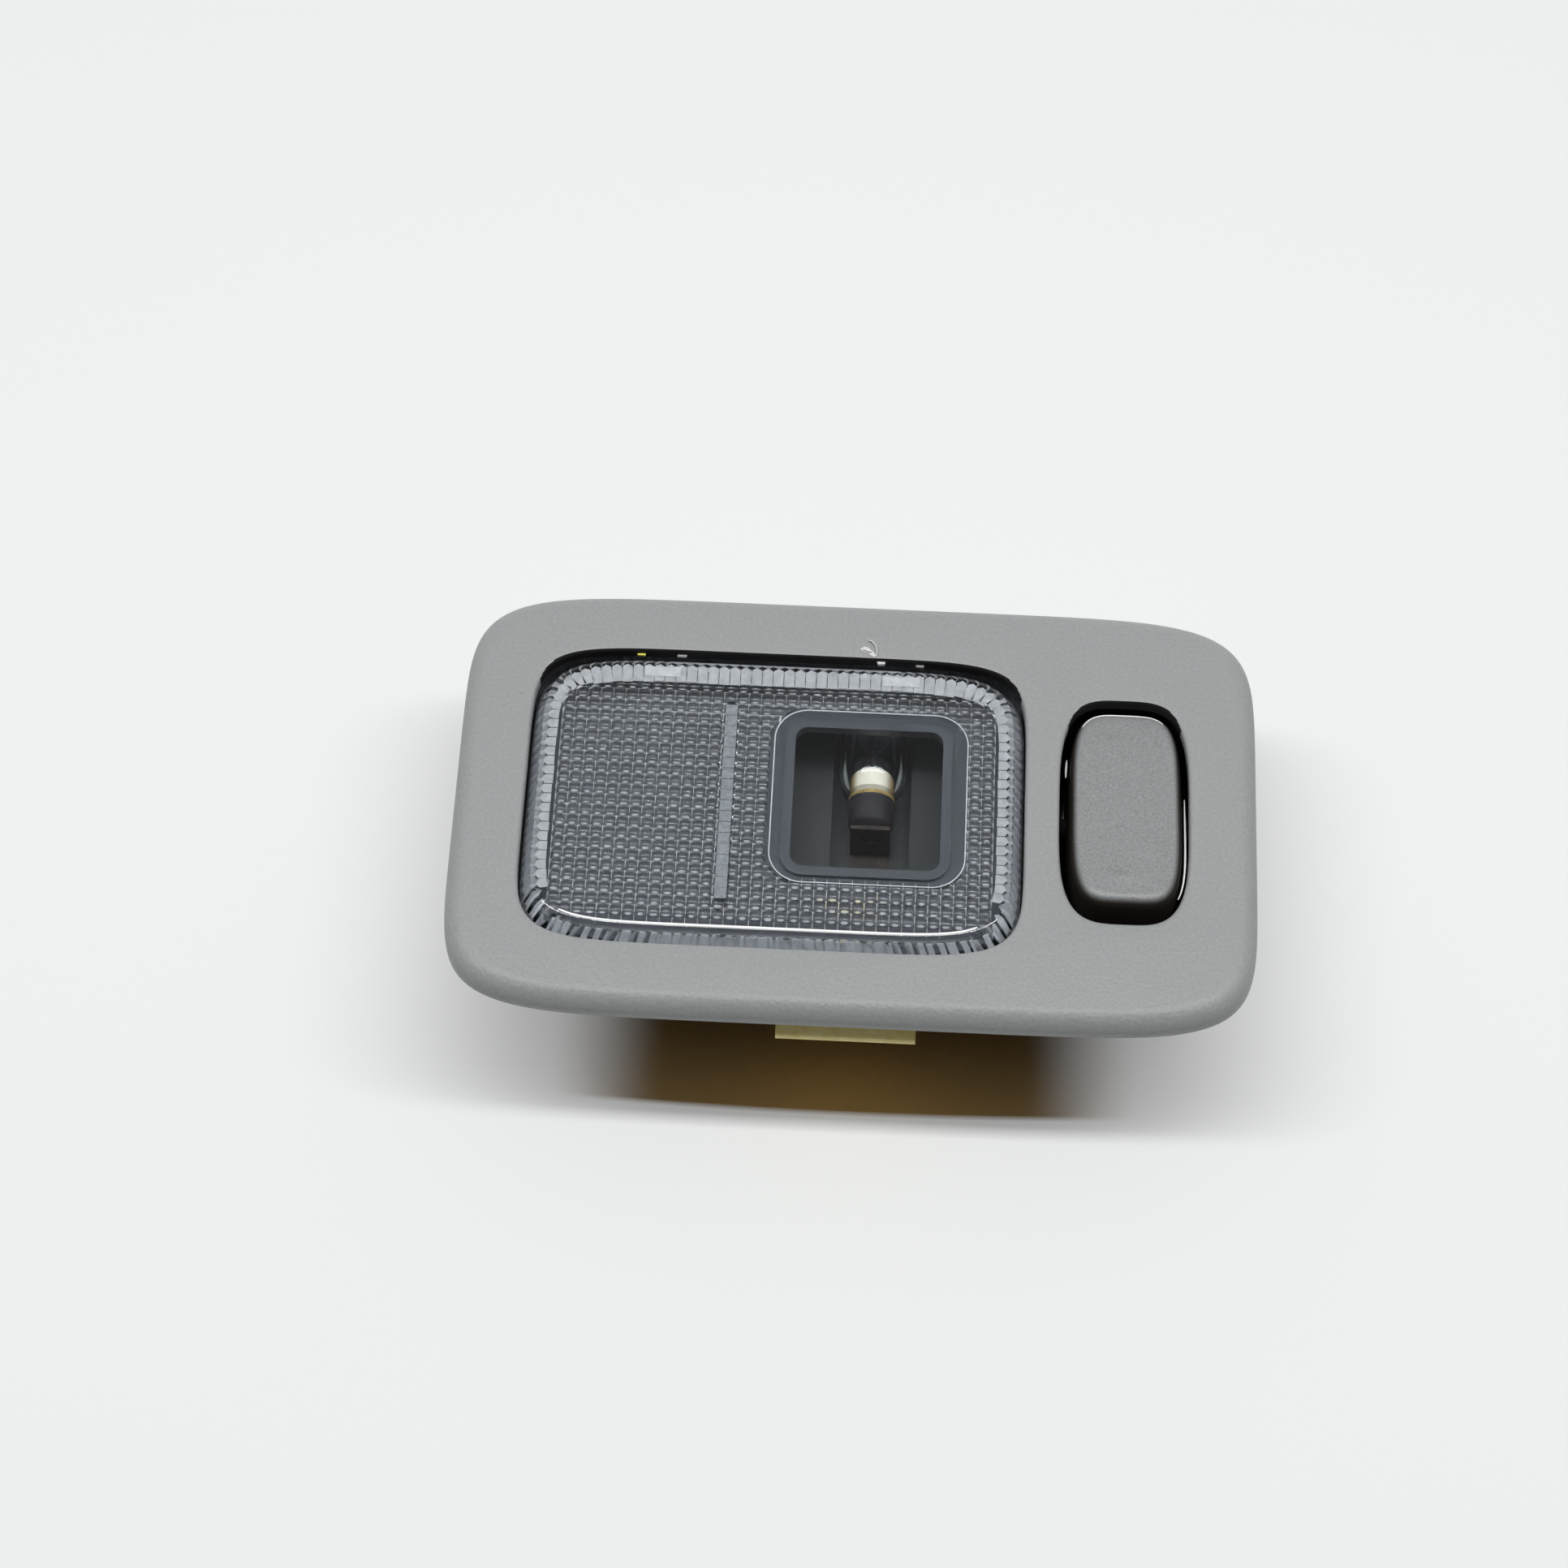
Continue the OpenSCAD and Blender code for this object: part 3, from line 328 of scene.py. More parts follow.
def rounded_rectangle(size_x, size_y, radius, steps):
    """Points, counter-clockwise, of a rectangle with round corners."""
    points = []
    for quarter_turn, (sx, sy) in enumerate(((1, 1), (-1, 1), (-1, -1), (1, -1))):
        for i in range(steps + 1):
            a = math.pi / 2 * (quarter_turn + i / steps)
            points.append((sx * (size_x / 2 - radius) + radius * math.cos(a),
                           sy * (size_y / 2 - radius) + radius * math.sin(a)))
    return points


def quarter(steps):
    """Steps of a quarter round, as shares of its run inwards and of its rise."""
    turns = [math.pi / 2 * i / steps for i in range(steps + 1)]
    return [(1 - math.cos(t), math.sin(t)) for t in turns]


def swelling(ends, power):
    """A taper for a wire that is thin at both ends and full in its middle."""
    return lambda t: ends + (1 - ends) * math.sin(math.pi * t) ** power


def new_object(name, bm):
    """A shown object made from a bmesh."""
    bmesh.ops.remove_doubles(bm, verts=bm.verts, dist=1e-9)
    bmesh.ops.recalc_face_normals(bm, faces=bm.faces)
    mesh = bpy.data.meshes.new(name)
    bm.to_mesh(mesh)
    bm.free()
    obj = bpy.data.objects.new(name, mesh)
    bpy.context.scene.collection.objects.link(obj)
    return obj


def bridge(bm, rows, closed=False):
    """Adds the faces between each row of vertices and the next, also where a row is one point."""
    for low, high in zip(rows, rows[1:] + (rows[:1] if closed else [])):
        for k in range(len(low)):
            n = (k + 1) % len(low)
            corners = list(dict.fromkeys((low[k], low[n], high[n], high[k])))
            if len(corners) > 2:
                bm.faces.new(corners)


def stack(bm, rings, closed=False):
    """Adds a solid through a stack of rings, capped at both ends unless it closes on itself."""
    rows = [[bm.verts.new(p) for p in ring] for ring in rings]
    bridge(bm, rows, closed)
    if not closed:
        bm.faces.new(rows[0][::-1])
        bm.faces.new(rows[-1])


def slab(bm, corners, low, high):
    """Adds a flat piece with the given corners between two heights."""
    stack(bm, (at(corners, low), at(corners, high)))


def loft(name, rings, closed=False):
    """A solid through a stack of rings."""
    bm = bmesh.new()
    stack(bm, rings, closed)
    return new_object(name, bm)


def revolve(name, profile, segments, closed):
    """A solid turned about Z from a profile of (radius, z) points; zero radii close it."""
    bm = bmesh.new()
    turns = [2 * math.pi * k / segments for k in range(segments)]
    rows = []
    for r, z in profile:
        if r < 1e-9:
            rows.append([bm.verts.new((0, 0, z))] * segments)
        else:
            rows.append([bm.verts.new((r * math.cos(a), r * math.sin(a), z)) for a in turns])
    bridge(bm, rows, closed)
    return new_object(name, bm)


def drum(name, radius, low, high, hole=0.0):
    """A round bar about Z, or a ring where it has a hole."""
    return revolve(name, [(hole, low), (radius, low), (radius, high), (hole, high)], 48, hole > 0)


def tube(name, path, radius, sides=10, taper=None):
    """A round wire along a path of points, capped at both ends."""
    points = [Vector(p) for p in path]
    last = len(points) - 1
    turns = [2 * math.pi * i / sides for i in range(sides)]
    rings = []
    side = None
    for k, p in enumerate(points):
        ahead = (points[min(k + 1, last)] - points[max(k - 1, 0)]).normalized()
        if side is None:
            side = ahead.orthogonal().normalized()
        side = (side - ahead * side.dot(ahead)).normalized()
        over = ahead.cross(side)
        r = radius if taper is None else radius * taper(k / last)
        rings.append([p + (side * math.cos(a) + over * math.sin(a)) * r for a in turns])
    return loft(name, rings)


def drop(obj):
    """Removes a piece that was made only to cut or to join."""
    data = obj.data
    bpy.data.objects.remove(obj)
    bpy.data.meshes.remove(data)


def combined(body, tools, operation):
    """Cuts tools from a body, or joins them to it, and removes them."""
    for tool in tools:
        step = body.modifiers.new(tool.name, "BOOLEAN")
        step.operation = operation
        step.solver = "MANIFOLD"
        step.object = tool
    graph = bpy.context.evaluated_depsgraph_get()
    mesh = bpy.data.meshes.new_from_object(body.evaluated_get(graph))
    body.modifiers.clear()
    old = body.data
    body.data = mesh
    mesh.name = body.name
    bpy.data.meshes.remove(old)
    if not mesh.polygons:
        raise RuntimeError(f"{body.name} came out empty")
    for tool in tools:
        drop(tool)
    return body


def joined(name, objects):
    """One object that holds the meshes of several."""
    bm = bmesh.new()
    for obj in objects:
        bm.from_mesh(obj.data)
        drop(obj)
    return new_object(name, bm)


def turned(obj, matrix):
    """Moves a new piece's own vertices by a matrix."""
    obj.data.transform(matrix)
    return obj


def shade(obj, angle):
    """Smooth shading with edges sharper than the angle kept sharp."""
    obj.data.polygons.foreach_set("use_smooth", [True] * len(obj.data.polygons))
    obj.data.set_sharp_from_angle(angle=math.radians(angle))
    return obj


def softened(obj, width):
    """Rounds the sharp edges of a piece a little."""
    bevel = obj.modifiers.new("Softened edges", "BEVEL")
    bevel.width = width
    bevel.segments = 2
    bevel.limit_method = "ANGLE"
    bevel.angle_limit = math.radians(50)


def painted(obj, material):
    """Gives a piece one material only."""
    obj.data.materials.clear()
    obj.data.materials.append(material)
    return obj


def mark(obj, material, test):
    """Gives a second material to the faces that pass a test."""
    obj.data.materials.append(material)
    index = len(obj.data.materials) - 1
    for face in obj.data.polygons:
        if test(face):
            face.material_index = index


def dress(obj, material, body="lamp", replaces=()):
    """Gives a piece its material and its body, and hides the parts that it replaces."""
    painted(obj, material)
    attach(obj, body)
    if replaces:
        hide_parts(*replaces)
    return obj


# Material helpers


def put(tree, socket, value):
    """Links an input to another socket, or sets it to a plain value or to a colour."""
    if isinstance(value, bpy.types.NodeSocket):
        tree.links.new(value, socket)
    elif socket.type == "RGBA" and len(value) == 3:
        socket.default_value = (*value, 1.0)
    else:
        socket.default_value = value


def add(tree, kind, *plugs, **values):
    """A node with its first inputs in their order, and its settings and other inputs by name."""
    node = tree.nodes.new(kind)
    for key, value in values.items():
        if hasattr(node, key):
            setattr(node, key, value)
        else:
            put(tree, node.inputs[key.replace("_", " ")], value)
    for socket, plug in zip(node.inputs, plugs):
        if plug is not None:
            put(tree, socket, plug)
    return node


def maths(tree, operation, a, b=None, c=None, clamp=False):
    """The result of a Math node whose inputs are sockets or plain numbers."""
    return add(tree, "ShaderNodeMath", a, b, c, operation=operation, use_clamp=clamp).outputs[0]


def vectors(tree, operation, a, b=None, out=0, **values):
    """The result of a Vector Math node."""
    return add(tree, "ShaderNodeVectorMath", a, b, operation=operation, **values).outputs[out]


def ramp(tree, value, low, high, start=0.0, end=1.0, kind="SMOOTHSTEP"):
    """A value spread from the range low to high onto the range start to end."""
    return add(tree, "ShaderNodeMapRange", value, low, high, start, end, interpolation_type=kind).outputs[0]


def mixed(tree, factor, a, b):
    """A colour mixed between two colours or sockets by a factor socket."""
    node = add(tree, "ShaderNodeMix", data_type="RGBA")
    for index, value in ((0, factor), (6, a), (7, b)):
        put(tree, node.inputs[index], value)
    return node.outputs[2]


def place_on(tree):
    """The place of a point in its piece's own space."""
    return add(tree, "ShaderNodeTexCoord").outputs["Object"]


def axes(tree, source):
    """The three parts of a vector."""
    return add(tree, "ShaderNodeSeparateXYZ", source).outputs


def clouds(tree, scale, detail, roughness):
    """Soft noise over a piece."""
    noise = add(tree, "ShaderNodeTexNoise", Vector=place_on(tree), Scale=scale, Detail=detail,
                Roughness=roughness)
    return noise.outputs["Fac"]


def reaches_from(tree, middle, reach):
    """How far a point is from a middle, counted in reaches along each axis."""
    away = vectors(tree, "SUBTRACT", place_on(tree), middle)
    return vectors(tree, "LENGTH", vectors(tree, "DIVIDE", away, reach), out="Value")


def group_tree(name, inputs, outputs):
    """A shader node group with named sockets, and its two end nodes."""
    tree = bpy.data.node_groups.new(name, "ShaderNodeTree")
    for label, kind, default in inputs:
        socket = tree.interface.new_socket(name=label, in_out="INPUT", socket_type=kind)
        if default is not None:
            socket.default_value = default
    for label, kind in outputs:
        tree.interface.new_socket(name=label, in_out="OUTPUT", socket_type=kind)
    return tree, tree.nodes.new("NodeGroupInput").outputs, tree.nodes.new("NodeGroupOutput").inputs


def grain_group():
    """Moulded grain: a height for a bump and a faint shift of colour, in object space."""
    name = "Moulded Grain"
    if name in bpy.data.node_groups:
        return bpy.data.node_groups[name]
    tree, given, result = group_tree(
        name,
        [("Colour", "NodeSocketColor", (0.3, 0.3, 0.3, 1.0)), ("Size", "NodeSocketFloat", 0.0003),
         ("Mottle", "NodeSocketFloat", 0.08)],
        [("Colour", "NodeSocketColor"), ("Height", "NodeSocketFloat")])
    scale = maths(tree, "DIVIDE", 1.0, given["Size"])
    dimples = add(tree, "ShaderNodeTexVoronoi", feature="SMOOTH_F1", Smoothness=0.6, Vector=place_on(tree),
                  Scale=scale)
    fine = clouds(tree, scale, 3.0, 0.6)
    speck = maths(tree, "SUBTRACT", fine, 0.5)
    drift = maths(tree, "SUBTRACT", clouds(tree, 90.0, 4.0, 0.55), 0.5)
    shift = maths(tree, "MULTIPLY_ADD", drift, 0.08, speck)
    gain = maths(tree, "MULTIPLY_ADD", shift, given["Mottle"], 1.0)
    put(tree, result["Colour"], vectors(tree, "SCALE", given["Colour"], Scale=gain))
    hollow = maths(tree, "MULTIPLY", dimples.outputs["Distance"], -0.6)
    put(tree, result["Height"], maths(tree, "ADD", hollow, fine))
    return tree


def patch_group():
    """A soft round patch about a point, broken up by noise, for scuff marks, wear, painted highlights and
    painted reflections.
    """
    name = "Scuffed Patch"
    if name in bpy.data.node_groups:
        return bpy.data.node_groups[name]
    tree, given, result = group_tree(
        name,
        [("Middle", "NodeSocketVector", None), ("Reach", "NodeSocketVector", None),
         ("Break", "NodeSocketFloat", 2500.0), ("Amount", "NodeSocketFloat", 0.5)],
        [("Mask", "NodeSocketFloat")])
    near = maths(tree, "SUBTRACT", 1.0, reaches_from(tree, given["Middle"], given["Reach"]), clamp=True)
    rough = clouds(tree, given["Break"], 4.0, 0.7)
    whole = maths(tree, "ADD", rough, maths(tree, "MULTIPLY", near, 0.25))
    broken = maths(tree, "GREATER_THAN", whole, 0.66)
    mask = maths(tree, "MULTIPLY", maths(tree, "MULTIPLY", near, broken), given["Amount"])
    put(tree, result["Mask"], mask)
    return tree


def principled(name, roughness, **values):
    """A material with one Principled shader, its plain values set on its own sockets."""
    mat = bpy.data.materials.new(name)
    mat.use_nodes = True
    tree = mat.node_tree
    shader = tree.nodes["Principled BSDF"].inputs
    put(tree, shader["Roughness"], roughness)
    for key, value in values.items():
        put(tree, shader[key.replace("_", " ")], value)
    return mat, tree, shader


def bumped(tree, shader, height, distance):
    """Feeds a height through a Bump node to a shader's normal."""
    bump = add(tree, "ShaderNodeBump", Strength=1.0, Distance=distance, Height=height)
    put(tree, shader["Normal"], bump.outputs["Normal"])


def shown(tree, factor, other):
    """Mixes another shader over the material's own one by a factor."""
    own = tree.nodes["Principled BSDF"].outputs[0]
    mix = add(tree, "ShaderNodeMixShader", factor, own, other.outputs[0])
    put(tree, tree.nodes["Material Output"].inputs["Surface"], mix.outputs[0])


def overlaid(mat, factor, colour):
    """Mixes a colour over a material's own colour by a factor."""
    skin = mat.node_tree.nodes["Principled BSDF"].inputs["Base Color"]
    put(mat.node_tree, skin, mixed(mat.node_tree, factor, skin.links[0].from_socket, colour))


def grained_plastic(name, tint, roughness, size, depth, mottle=0.1, patches=()):
    """Moulded plastic with grain, and patches (scuff marks, painted highlights and reflections) as (middle,
    reach, break, amount, colour).
    """
    mat, tree, shader = principled(name, roughness)
    grain = add(tree, "ShaderNodeGroup", node_tree=grain_group(), Colour=tint, Size=size, Mottle=mottle)
    skin = grain.outputs["Colour"]
    for middle, reach, breaks, amount, patch_tint in patches:
        patch = add(tree, "ShaderNodeGroup", node_tree=patch_group(), Middle=middle, Reach=reach,
                    Break=breaks, Amount=amount)
        skin = mixed(tree, patch.outputs["Mask"], skin, patch_tint)
    put(tree, shader["Base Color"], skin)
    bumped(tree, shader, grain.outputs["Height"], depth)
    return mat


def clear_plastic(name, tint, roughness, ior, lamp_share, clarity=1.0):
    """Clear plastic or glass that also lets the lamps' light reach what is behind it."""
    mat, tree, _ = principled(name, roughness, Transmission_Weight=clarity, IOR=ior, Base_Color=tint)
    clear = add(tree, "ShaderNodeBsdfTransparent", Color=[lamp_share * c for c in tint])
    shown(tree, add(tree, "ShaderNodeLightPath").outputs["Is Shadow Ray"], clear)
    return mat


def worn_metal(name, tint, dark, roughness, scale, metallic=1.0):
    """Metal with cloudy tarnish and fine brushing."""
    mat, tree, shader = principled(name, roughness, Metallic=metallic)
    tarnish = ramp(tree, clouds(tree, scale, 6.0, 0.65), 0.35, 0.65, kind="LINEAR")
    brushing = clouds(tree, scale * 9, 3.0, 0.6)
    put(tree, shader["Base Color"], mixed(tree, tarnish, dark, tint))
    put(tree, shader["Roughness"], maths(tree, "MULTIPLY_ADD", brushing, 0.25, roughness - 0.12))
    bumped(tree, shader, brushing, 0.01 * MM)
    return mat


# Bezel


def screw_bosses(s):
    """The four bosses that take the bezel's screws, each with its pilot hole."""
    top = FACE_Z - s.face_thickness + s.boss_root
    bosses = []
    for sx in (-1, 1):
        for sy in (-1, 1):
            boss = drum("boss", s.boss / 2, BEZEL_LOW[2], top, s.pilot / 2)
            turned(boss, Matrix.Translation((sx * s.boss_span_x / 2, sy * s.boss_span_y / 2, 0)))
            bosses.append(boss)
    return bosses


def flared(s, size_x, size_y, power, middle):
    """A cutter for an opening whose lip rolls over onto the face."""
    def ring(grow, z):
        return at(outline(size_x + grow, size_y + grow, power, 240), z, middle)

    spare = 0.02 * MM
    rings = [ring(0.0, FACE_Z - s.face_thickness - MM)]
    rings += [ring(2 * s.lip * inward, FACE_Z - s.lip + s.lip * rise) for inward, rise in quarter(8)]
    rings.append(ring(2 * s.lip + spare, FACE_Z + MM))
    return loft("opening", rings)


def bezel_shell(s, lens):
    """The bezel: a rolled rim round a thin face with two openings."""
    size_x = BEZEL_HIGH[0] - BEZEL_LOW[0]
    size_y = BEZEL_HIGH[1] - BEZEL_LOW[1]
    foot = FACE_Z - s.rim_height
    under = FACE_Z - s.face_thickness
    inside = 2 * s.rim_thickness

    def ring(inset, z):
        return at(outline(size_x - inset, size_y - inset, s.power, 320), z)

    rings = [ring(0.8 * MM, foot), ring(0.3 * MM, foot + 0.12 * MM), ring(0.0, foot + 0.5 * MM)]
    rings += [ring(2 * s.roll * inward, FACE_Z - s.roll + s.roll * rise) for inward, rise in quarter(16)]
    shell = loft("bezel_shell", rings)
    cavity = loft("cavity", [ring(inside, foot - MM), ring(inside, under - 0.6 * MM),
                             ring(inside + 0.4 * MM, under - 0.18 * MM), ring(inside + 1.2 * MM, under)])
    combined(shell, [cavity], "DIFFERENCE")
    combined(shell, screw_bosses(s), "UNION")
    window = flared(s, lens.base_length + 2 * s.lens_gap, lens.base_width + 2 * s.lens_gap, lens.power,
                    (lens.middle_x, 0.0))
    switch = flared(s, s.switch_width, s.switch_length, s.switch_power, (PIVOT.x, PIVOT.y + s.switch_shift))
    combined(shell, [window, switch], "DIFFERENCE")
    return shade(shell, 32.0)


def paint_shade_on_far_lips(shell, material, s):
    """Paints shade on the far walls of both openings, which lie in shadow."""
    near_y, far_y = 15 * MM, 27 * MM
    low_z, high_z = FACE_Z - s.face_thickness - 0.1 * MM, FACE_Z - 0.03 * MM

    def far_lip(face):
        _, y, z = face.center
        return near_y < y < far_y and low_z < z < high_z and face.normal.y < -0.3

    mark(shell, material, far_lip)


def pry_burr():
    """Torn pale flakes and a curled thread that a tool raised at the far lip of the lens opening."""
    torn = [(-0.35, 27.15), (0.35, 27.6), (1.0, 27.35), (1.75, 26.6), (2.25, 25.9), (1.75, 25.75),
            (0.9, 26.35), (0.2, 26.6)]
    fold = [(0.1, 26.9), (0.8, 27.1), (1.4, 26.6), (1.0, 26.45), (0.5, 26.7)]
    chip = [(2.2, 25.65), (3.0, 25.75), (3.6, 25.4), (3.5, 24.9), (2.5, 24.85)]
    bends = [(0.85, 28.75, 0.1), (1.5, 28.4, 0.35), (2.05, 27.6, 0.45), (2.25, 26.7, 0.3),
             (2.1, 25.9, 0.05)]
    bm = bmesh.new()
    for points, low, high in ((torn, -0.1, 0.12), (fold, 0.1, 0.42), (chip, -1.0, -0.45)):
        slab(bm, in_mm(points), FACE_Z + low * MM, FACE_Z + high * MM)
    flakes = new_object("flakes", bm)
    thread = tube("thread", [(x, y, FACE_Z + z) for x, y, z in in_mm(bends)], 0.11 * MM, 8)
    return shade(joined("pry_burr", [flakes, thread]), 30.0)


def lip_spots(name, places):
    """Small pale spots on the dark far wall of the lens opening, as (x, half width) in millimetres."""
    bm = bmesh.new()
    for x, half in places:
        spot = [(x - half, 24.95), (x + half * 0.8, 24.9), (x + half, 25.35), (x - half * 0.9, 25.4)]
        slab(bm, in_mm(spot), FACE_Z - 1.15 * MM, FACE_Z - 0.85 * MM)
    return new_object(name, bm)


class INTERIORLIGHT_OT_bezel(Operator):
    """Build the grained bezel and its small pry mark"""

    bl_idname = "interior_light.bezel"
    bl_label = "Build Bezel"

    def execute(self, context):
        settings = context.scene.interior_light
        s = settings.bezel
        scratch = ((-51.2 * MM, 16.6 * MM, FACE_Z), (0.9 * MM, 0.35 * MM, 2 * MM), 900.0, 0.55,
                   (0.12, 0.12, 0.12))
        grey = grained_plastic("Grained grey plastic", s.colour, s.roughness, s.grain_size, s.grain_depth,
                               0.4, [scratch])
        shell = dress(bezel_shell(s, settings.lens), grey, replaces=("bezel",))
        # Painted shade: a near-black material on the far lips of the openings, where shadow falls.
        painted_lip_shade = grained_plastic("Shaded lip", (0.008, 0.008, 0.008), 0.6, 0.0004, 0.00002)
        painted_lip_shade.node_tree.nodes["Principled BSDF"].inputs["Specular IOR Level"].default_value = 0.2
        paint_shade_on_far_lips(shell, painted_lip_shade, s)
        pale = grained_plastic("Torn pale plastic", (0.62, 0.62, 0.62), 0.45, 0.0004, 0.00003)
        dress(pry_burr(), pale)
        # Pale and yellow spots on the dark far lip of the lens opening.
        pale_spots = grained_plastic("Rubbed lip", (0.30, 0.30, 0.29), 0.5, 0.0003, 0.00003, 1.0)
        dress(lip_spots("lip_wear_pale", ((-27.4, 0.75), (8.9, 0.65))), pale_spots)
        yellow = grained_plastic("Yellow speck", (0.72, 0.68, 0.10), 0.5, 0.0004, 0.00002)
        dress(lip_spots("lip_wear_yellow", ((-33.6, 0.65),)), yellow)
        return {"FINISHED"}


# Lens


def flute_count(s):
    """How many flutes run round the inside of the walls."""
    return round(2 * (s.base_length + s.base_width - 4 * s.wall) / s.flute_pitch)


def cell_counts(s):
    """How many cells fit along and across the top."""
    spent = 2 * s.wall + 2 * s.lean + s.field_margin
    return int((s.base_length - spent) / s.pitch), int((s.base_width - spent) / s.pitch)


def above_cells(s):
    """A height in the plate, just above the cells under it."""
    return LENS_HIGH[2] - s.top + s.field_step + s.prism + 0.1 * MM


def spread(s, x, y, half_x, half_y):
    """Below 1 inside an outline that is shaped like the lens and has the given half sizes."""
    return (abs(x - s.middle_x) / half_x) ** s.power + (abs(y) / half_y) ** s.power


def lens_outline(s, inset, count):
    """The lens's outline, inset by the same amount all round."""
    return outline(s.base_length - 2 * inset, s.base_width - 2 * inset, s.power, count)


def lens_ring(s, inset, z):
    """One ring of the lens's smooth outer skin."""
    return at(lens_outline(s, inset, 320), z, (s.middle_x, 0.0))


def flute_ring(s, inset, z, per_flute=8):
    """One ring of the lens's scalloped inner skin."""
    points = lens_outline(s, s.wall + inset, flute_count(s) * per_flute)
    depth = [s.flute * abs(math.sin(math.pi * k / per_flute)) for k in range(len(points))]
    return at(pushed(points, depth), z, (s.middle_x, 0.0))


def prism_field(s, ceiling, per_cell=6):
    """A cutter with a pillow-shaped bump for each cell of the lens's underside."""
    nx, ny = (cells * per_cell for cells in cell_counts(s))
    step = s.pitch / per_cell
    bm = bmesh.new()

    def pillow(i, j):
        u = 2 * (i % per_cell) / per_cell - 1
        v = 2 * (j % per_cell) / per_cell - 1
        return s.field_step + s.prism * (1 - (u * u + v * v) / 2)

    top = [[bm.verts.new((s.middle_x + (i - nx / 2) * step, (j - ny / 2) * step, ceiling + pillow(i, j)))
            for i in range(nx + 1)] for j in range(ny + 1)]
    for j in range(ny):
        for i in range(nx):
            bm.faces.new((top[j][i], top[j][i + 1], top[j + 1][i + 1], top[j + 1][i]))
    rim = top[0][:-1] + [row[-1] for row in top[:-1]] + top[-1][:0:-1] + [row[0] for row in top[:0:-1]]
    foot = [bm.verts.new((v.co.x, v.co.y, ceiling - MM)) for v in rim]
    bridge(bm, [foot, rim])
    bm.faces.new(foot[::-1])
    return new_object("prism_field", bm)


def snap_tab(s, x, side):
    """A snap tab of the lens with a ramp above and below its nose."""
    z = LENS_LOW[2] + 0.6 * MM
    wall = s.base_width / 2
    root = wall - s.wall + 0.3 * MM
    nose = wall + s.tab_reach
    middle = z + s.tab_height / 2
    flat = 0.2 * MM
    profile = [(root, z), (wall, z), (nose, middle - flat), (nose, middle + flat),
               (wall, z + s.tab_height), (root, z + s.tab_height)]
    return loft("tab", [[(end, side * y, h) for y, h in profile]
                        for end in (x - s.tab_width / 2, x + s.tab_width / 2)])


def lens_cover(s):
    """The lens: leaning walls fluted inside, a field of cells, a plain window and a rib."""
    top_z, foot_z = LENS_HIGH[2], LENS_LOW[2]
    ceiling = top_z - s.top
    shoulder_z = FACE_Z - s.shoulder
    rings = [lens_ring(s, 0.0, foot_z), lens_ring(s, 0.0, shoulder_z)]
    rings += [lens_ring(s, s.lean - s.edge + s.edge * inward, top_z - s.edge + s.edge * rise)
              for inward, rise in quarter(10)]
    cover = loft("lens_cover", rings)
    inner = loft("hollow", [flute_ring(s, 0.0, foot_z - MM), flute_ring(s, 0.0, shoulder_z),
                            flute_ring(s, s.lean - s.edge, ceiling)])
    combined(cover, [inner, prism_field(s, ceiling)], "DIFFERENCE")
    window = rounded_rectangle(s.window, s.window, s.window_corner, 16)
    bar = rounded_rectangle(s.rib_thickness, s.rib_length, s.rib_thickness / 2 - 0.01 * MM, 8)
    pad = loft("pad", [at(window, z, (s.window_x, s.window_y))
                       for z in (ceiling - s.window_step, above_cells(s))])
    rib = loft("rib", [at(bar, z, (s.rib_x, RIB_Y)) for z in (ceiling - s.rib_height, above_cells(s))])
    tabs = [snap_tab(s, x, side) for x in TAB_X for side in (-1, 1)]
    combined(cover, [pad, rib, *tabs], "UNION")
    return shade(cover, 24.0)


def frost_walls(s, cover, milky, soft):
    """Gives the walls' scalloped inner faces their milky finish and the cells a softer one."""
    skin = s.wall - s.flute - 0.1 * MM
    half_x, half_y = s.base_length / 2 - skin, s.base_width / 2 - skin
    ceiling = LENS_HIGH[2] - s.top

    def wall(face):
        x, y, z = face.center
        inside = 0.35 < spread(s, x, y, half_x, half_y) < 1.0
        return inside and abs(face.normal.z) < 0.6 and z < ceiling - 0.05 * MM

    def cell(face):
        return ceiling + 0.15 * MM < face.center.z < ceiling + 1.2 * MM and face.normal.z < -0.3

    mark(cover, milky, wall)
    mark(cover, soft, cell)


def window_outline(s):
    """A painted highlight: the fine bright line round the window, in the plate above the cells."""
    low, high = above_cells(s), above_cells(s) + 0.2 * MM
    wide, deep = s.window - 0.9 * MM, s.window - 0.1 * MM
    middle = (s.window_x + 0.3 * MM, s.window_y - 0.35 * MM)
    inner = rounded_rectangle(wide, deep, s.window_corner, 16)
    outer = rounded_rectangle(wide + 2 * s.outline, deep + 2 * s.outline, s.window_corner + s.outline, 16)
    section = ((inner, low), (outer, low), (outer, high), (inner, high))
    rings = [at(points, z, middle) for points, z in section]
    return shade(loft("window_outline", rings, closed=True), 30.0)


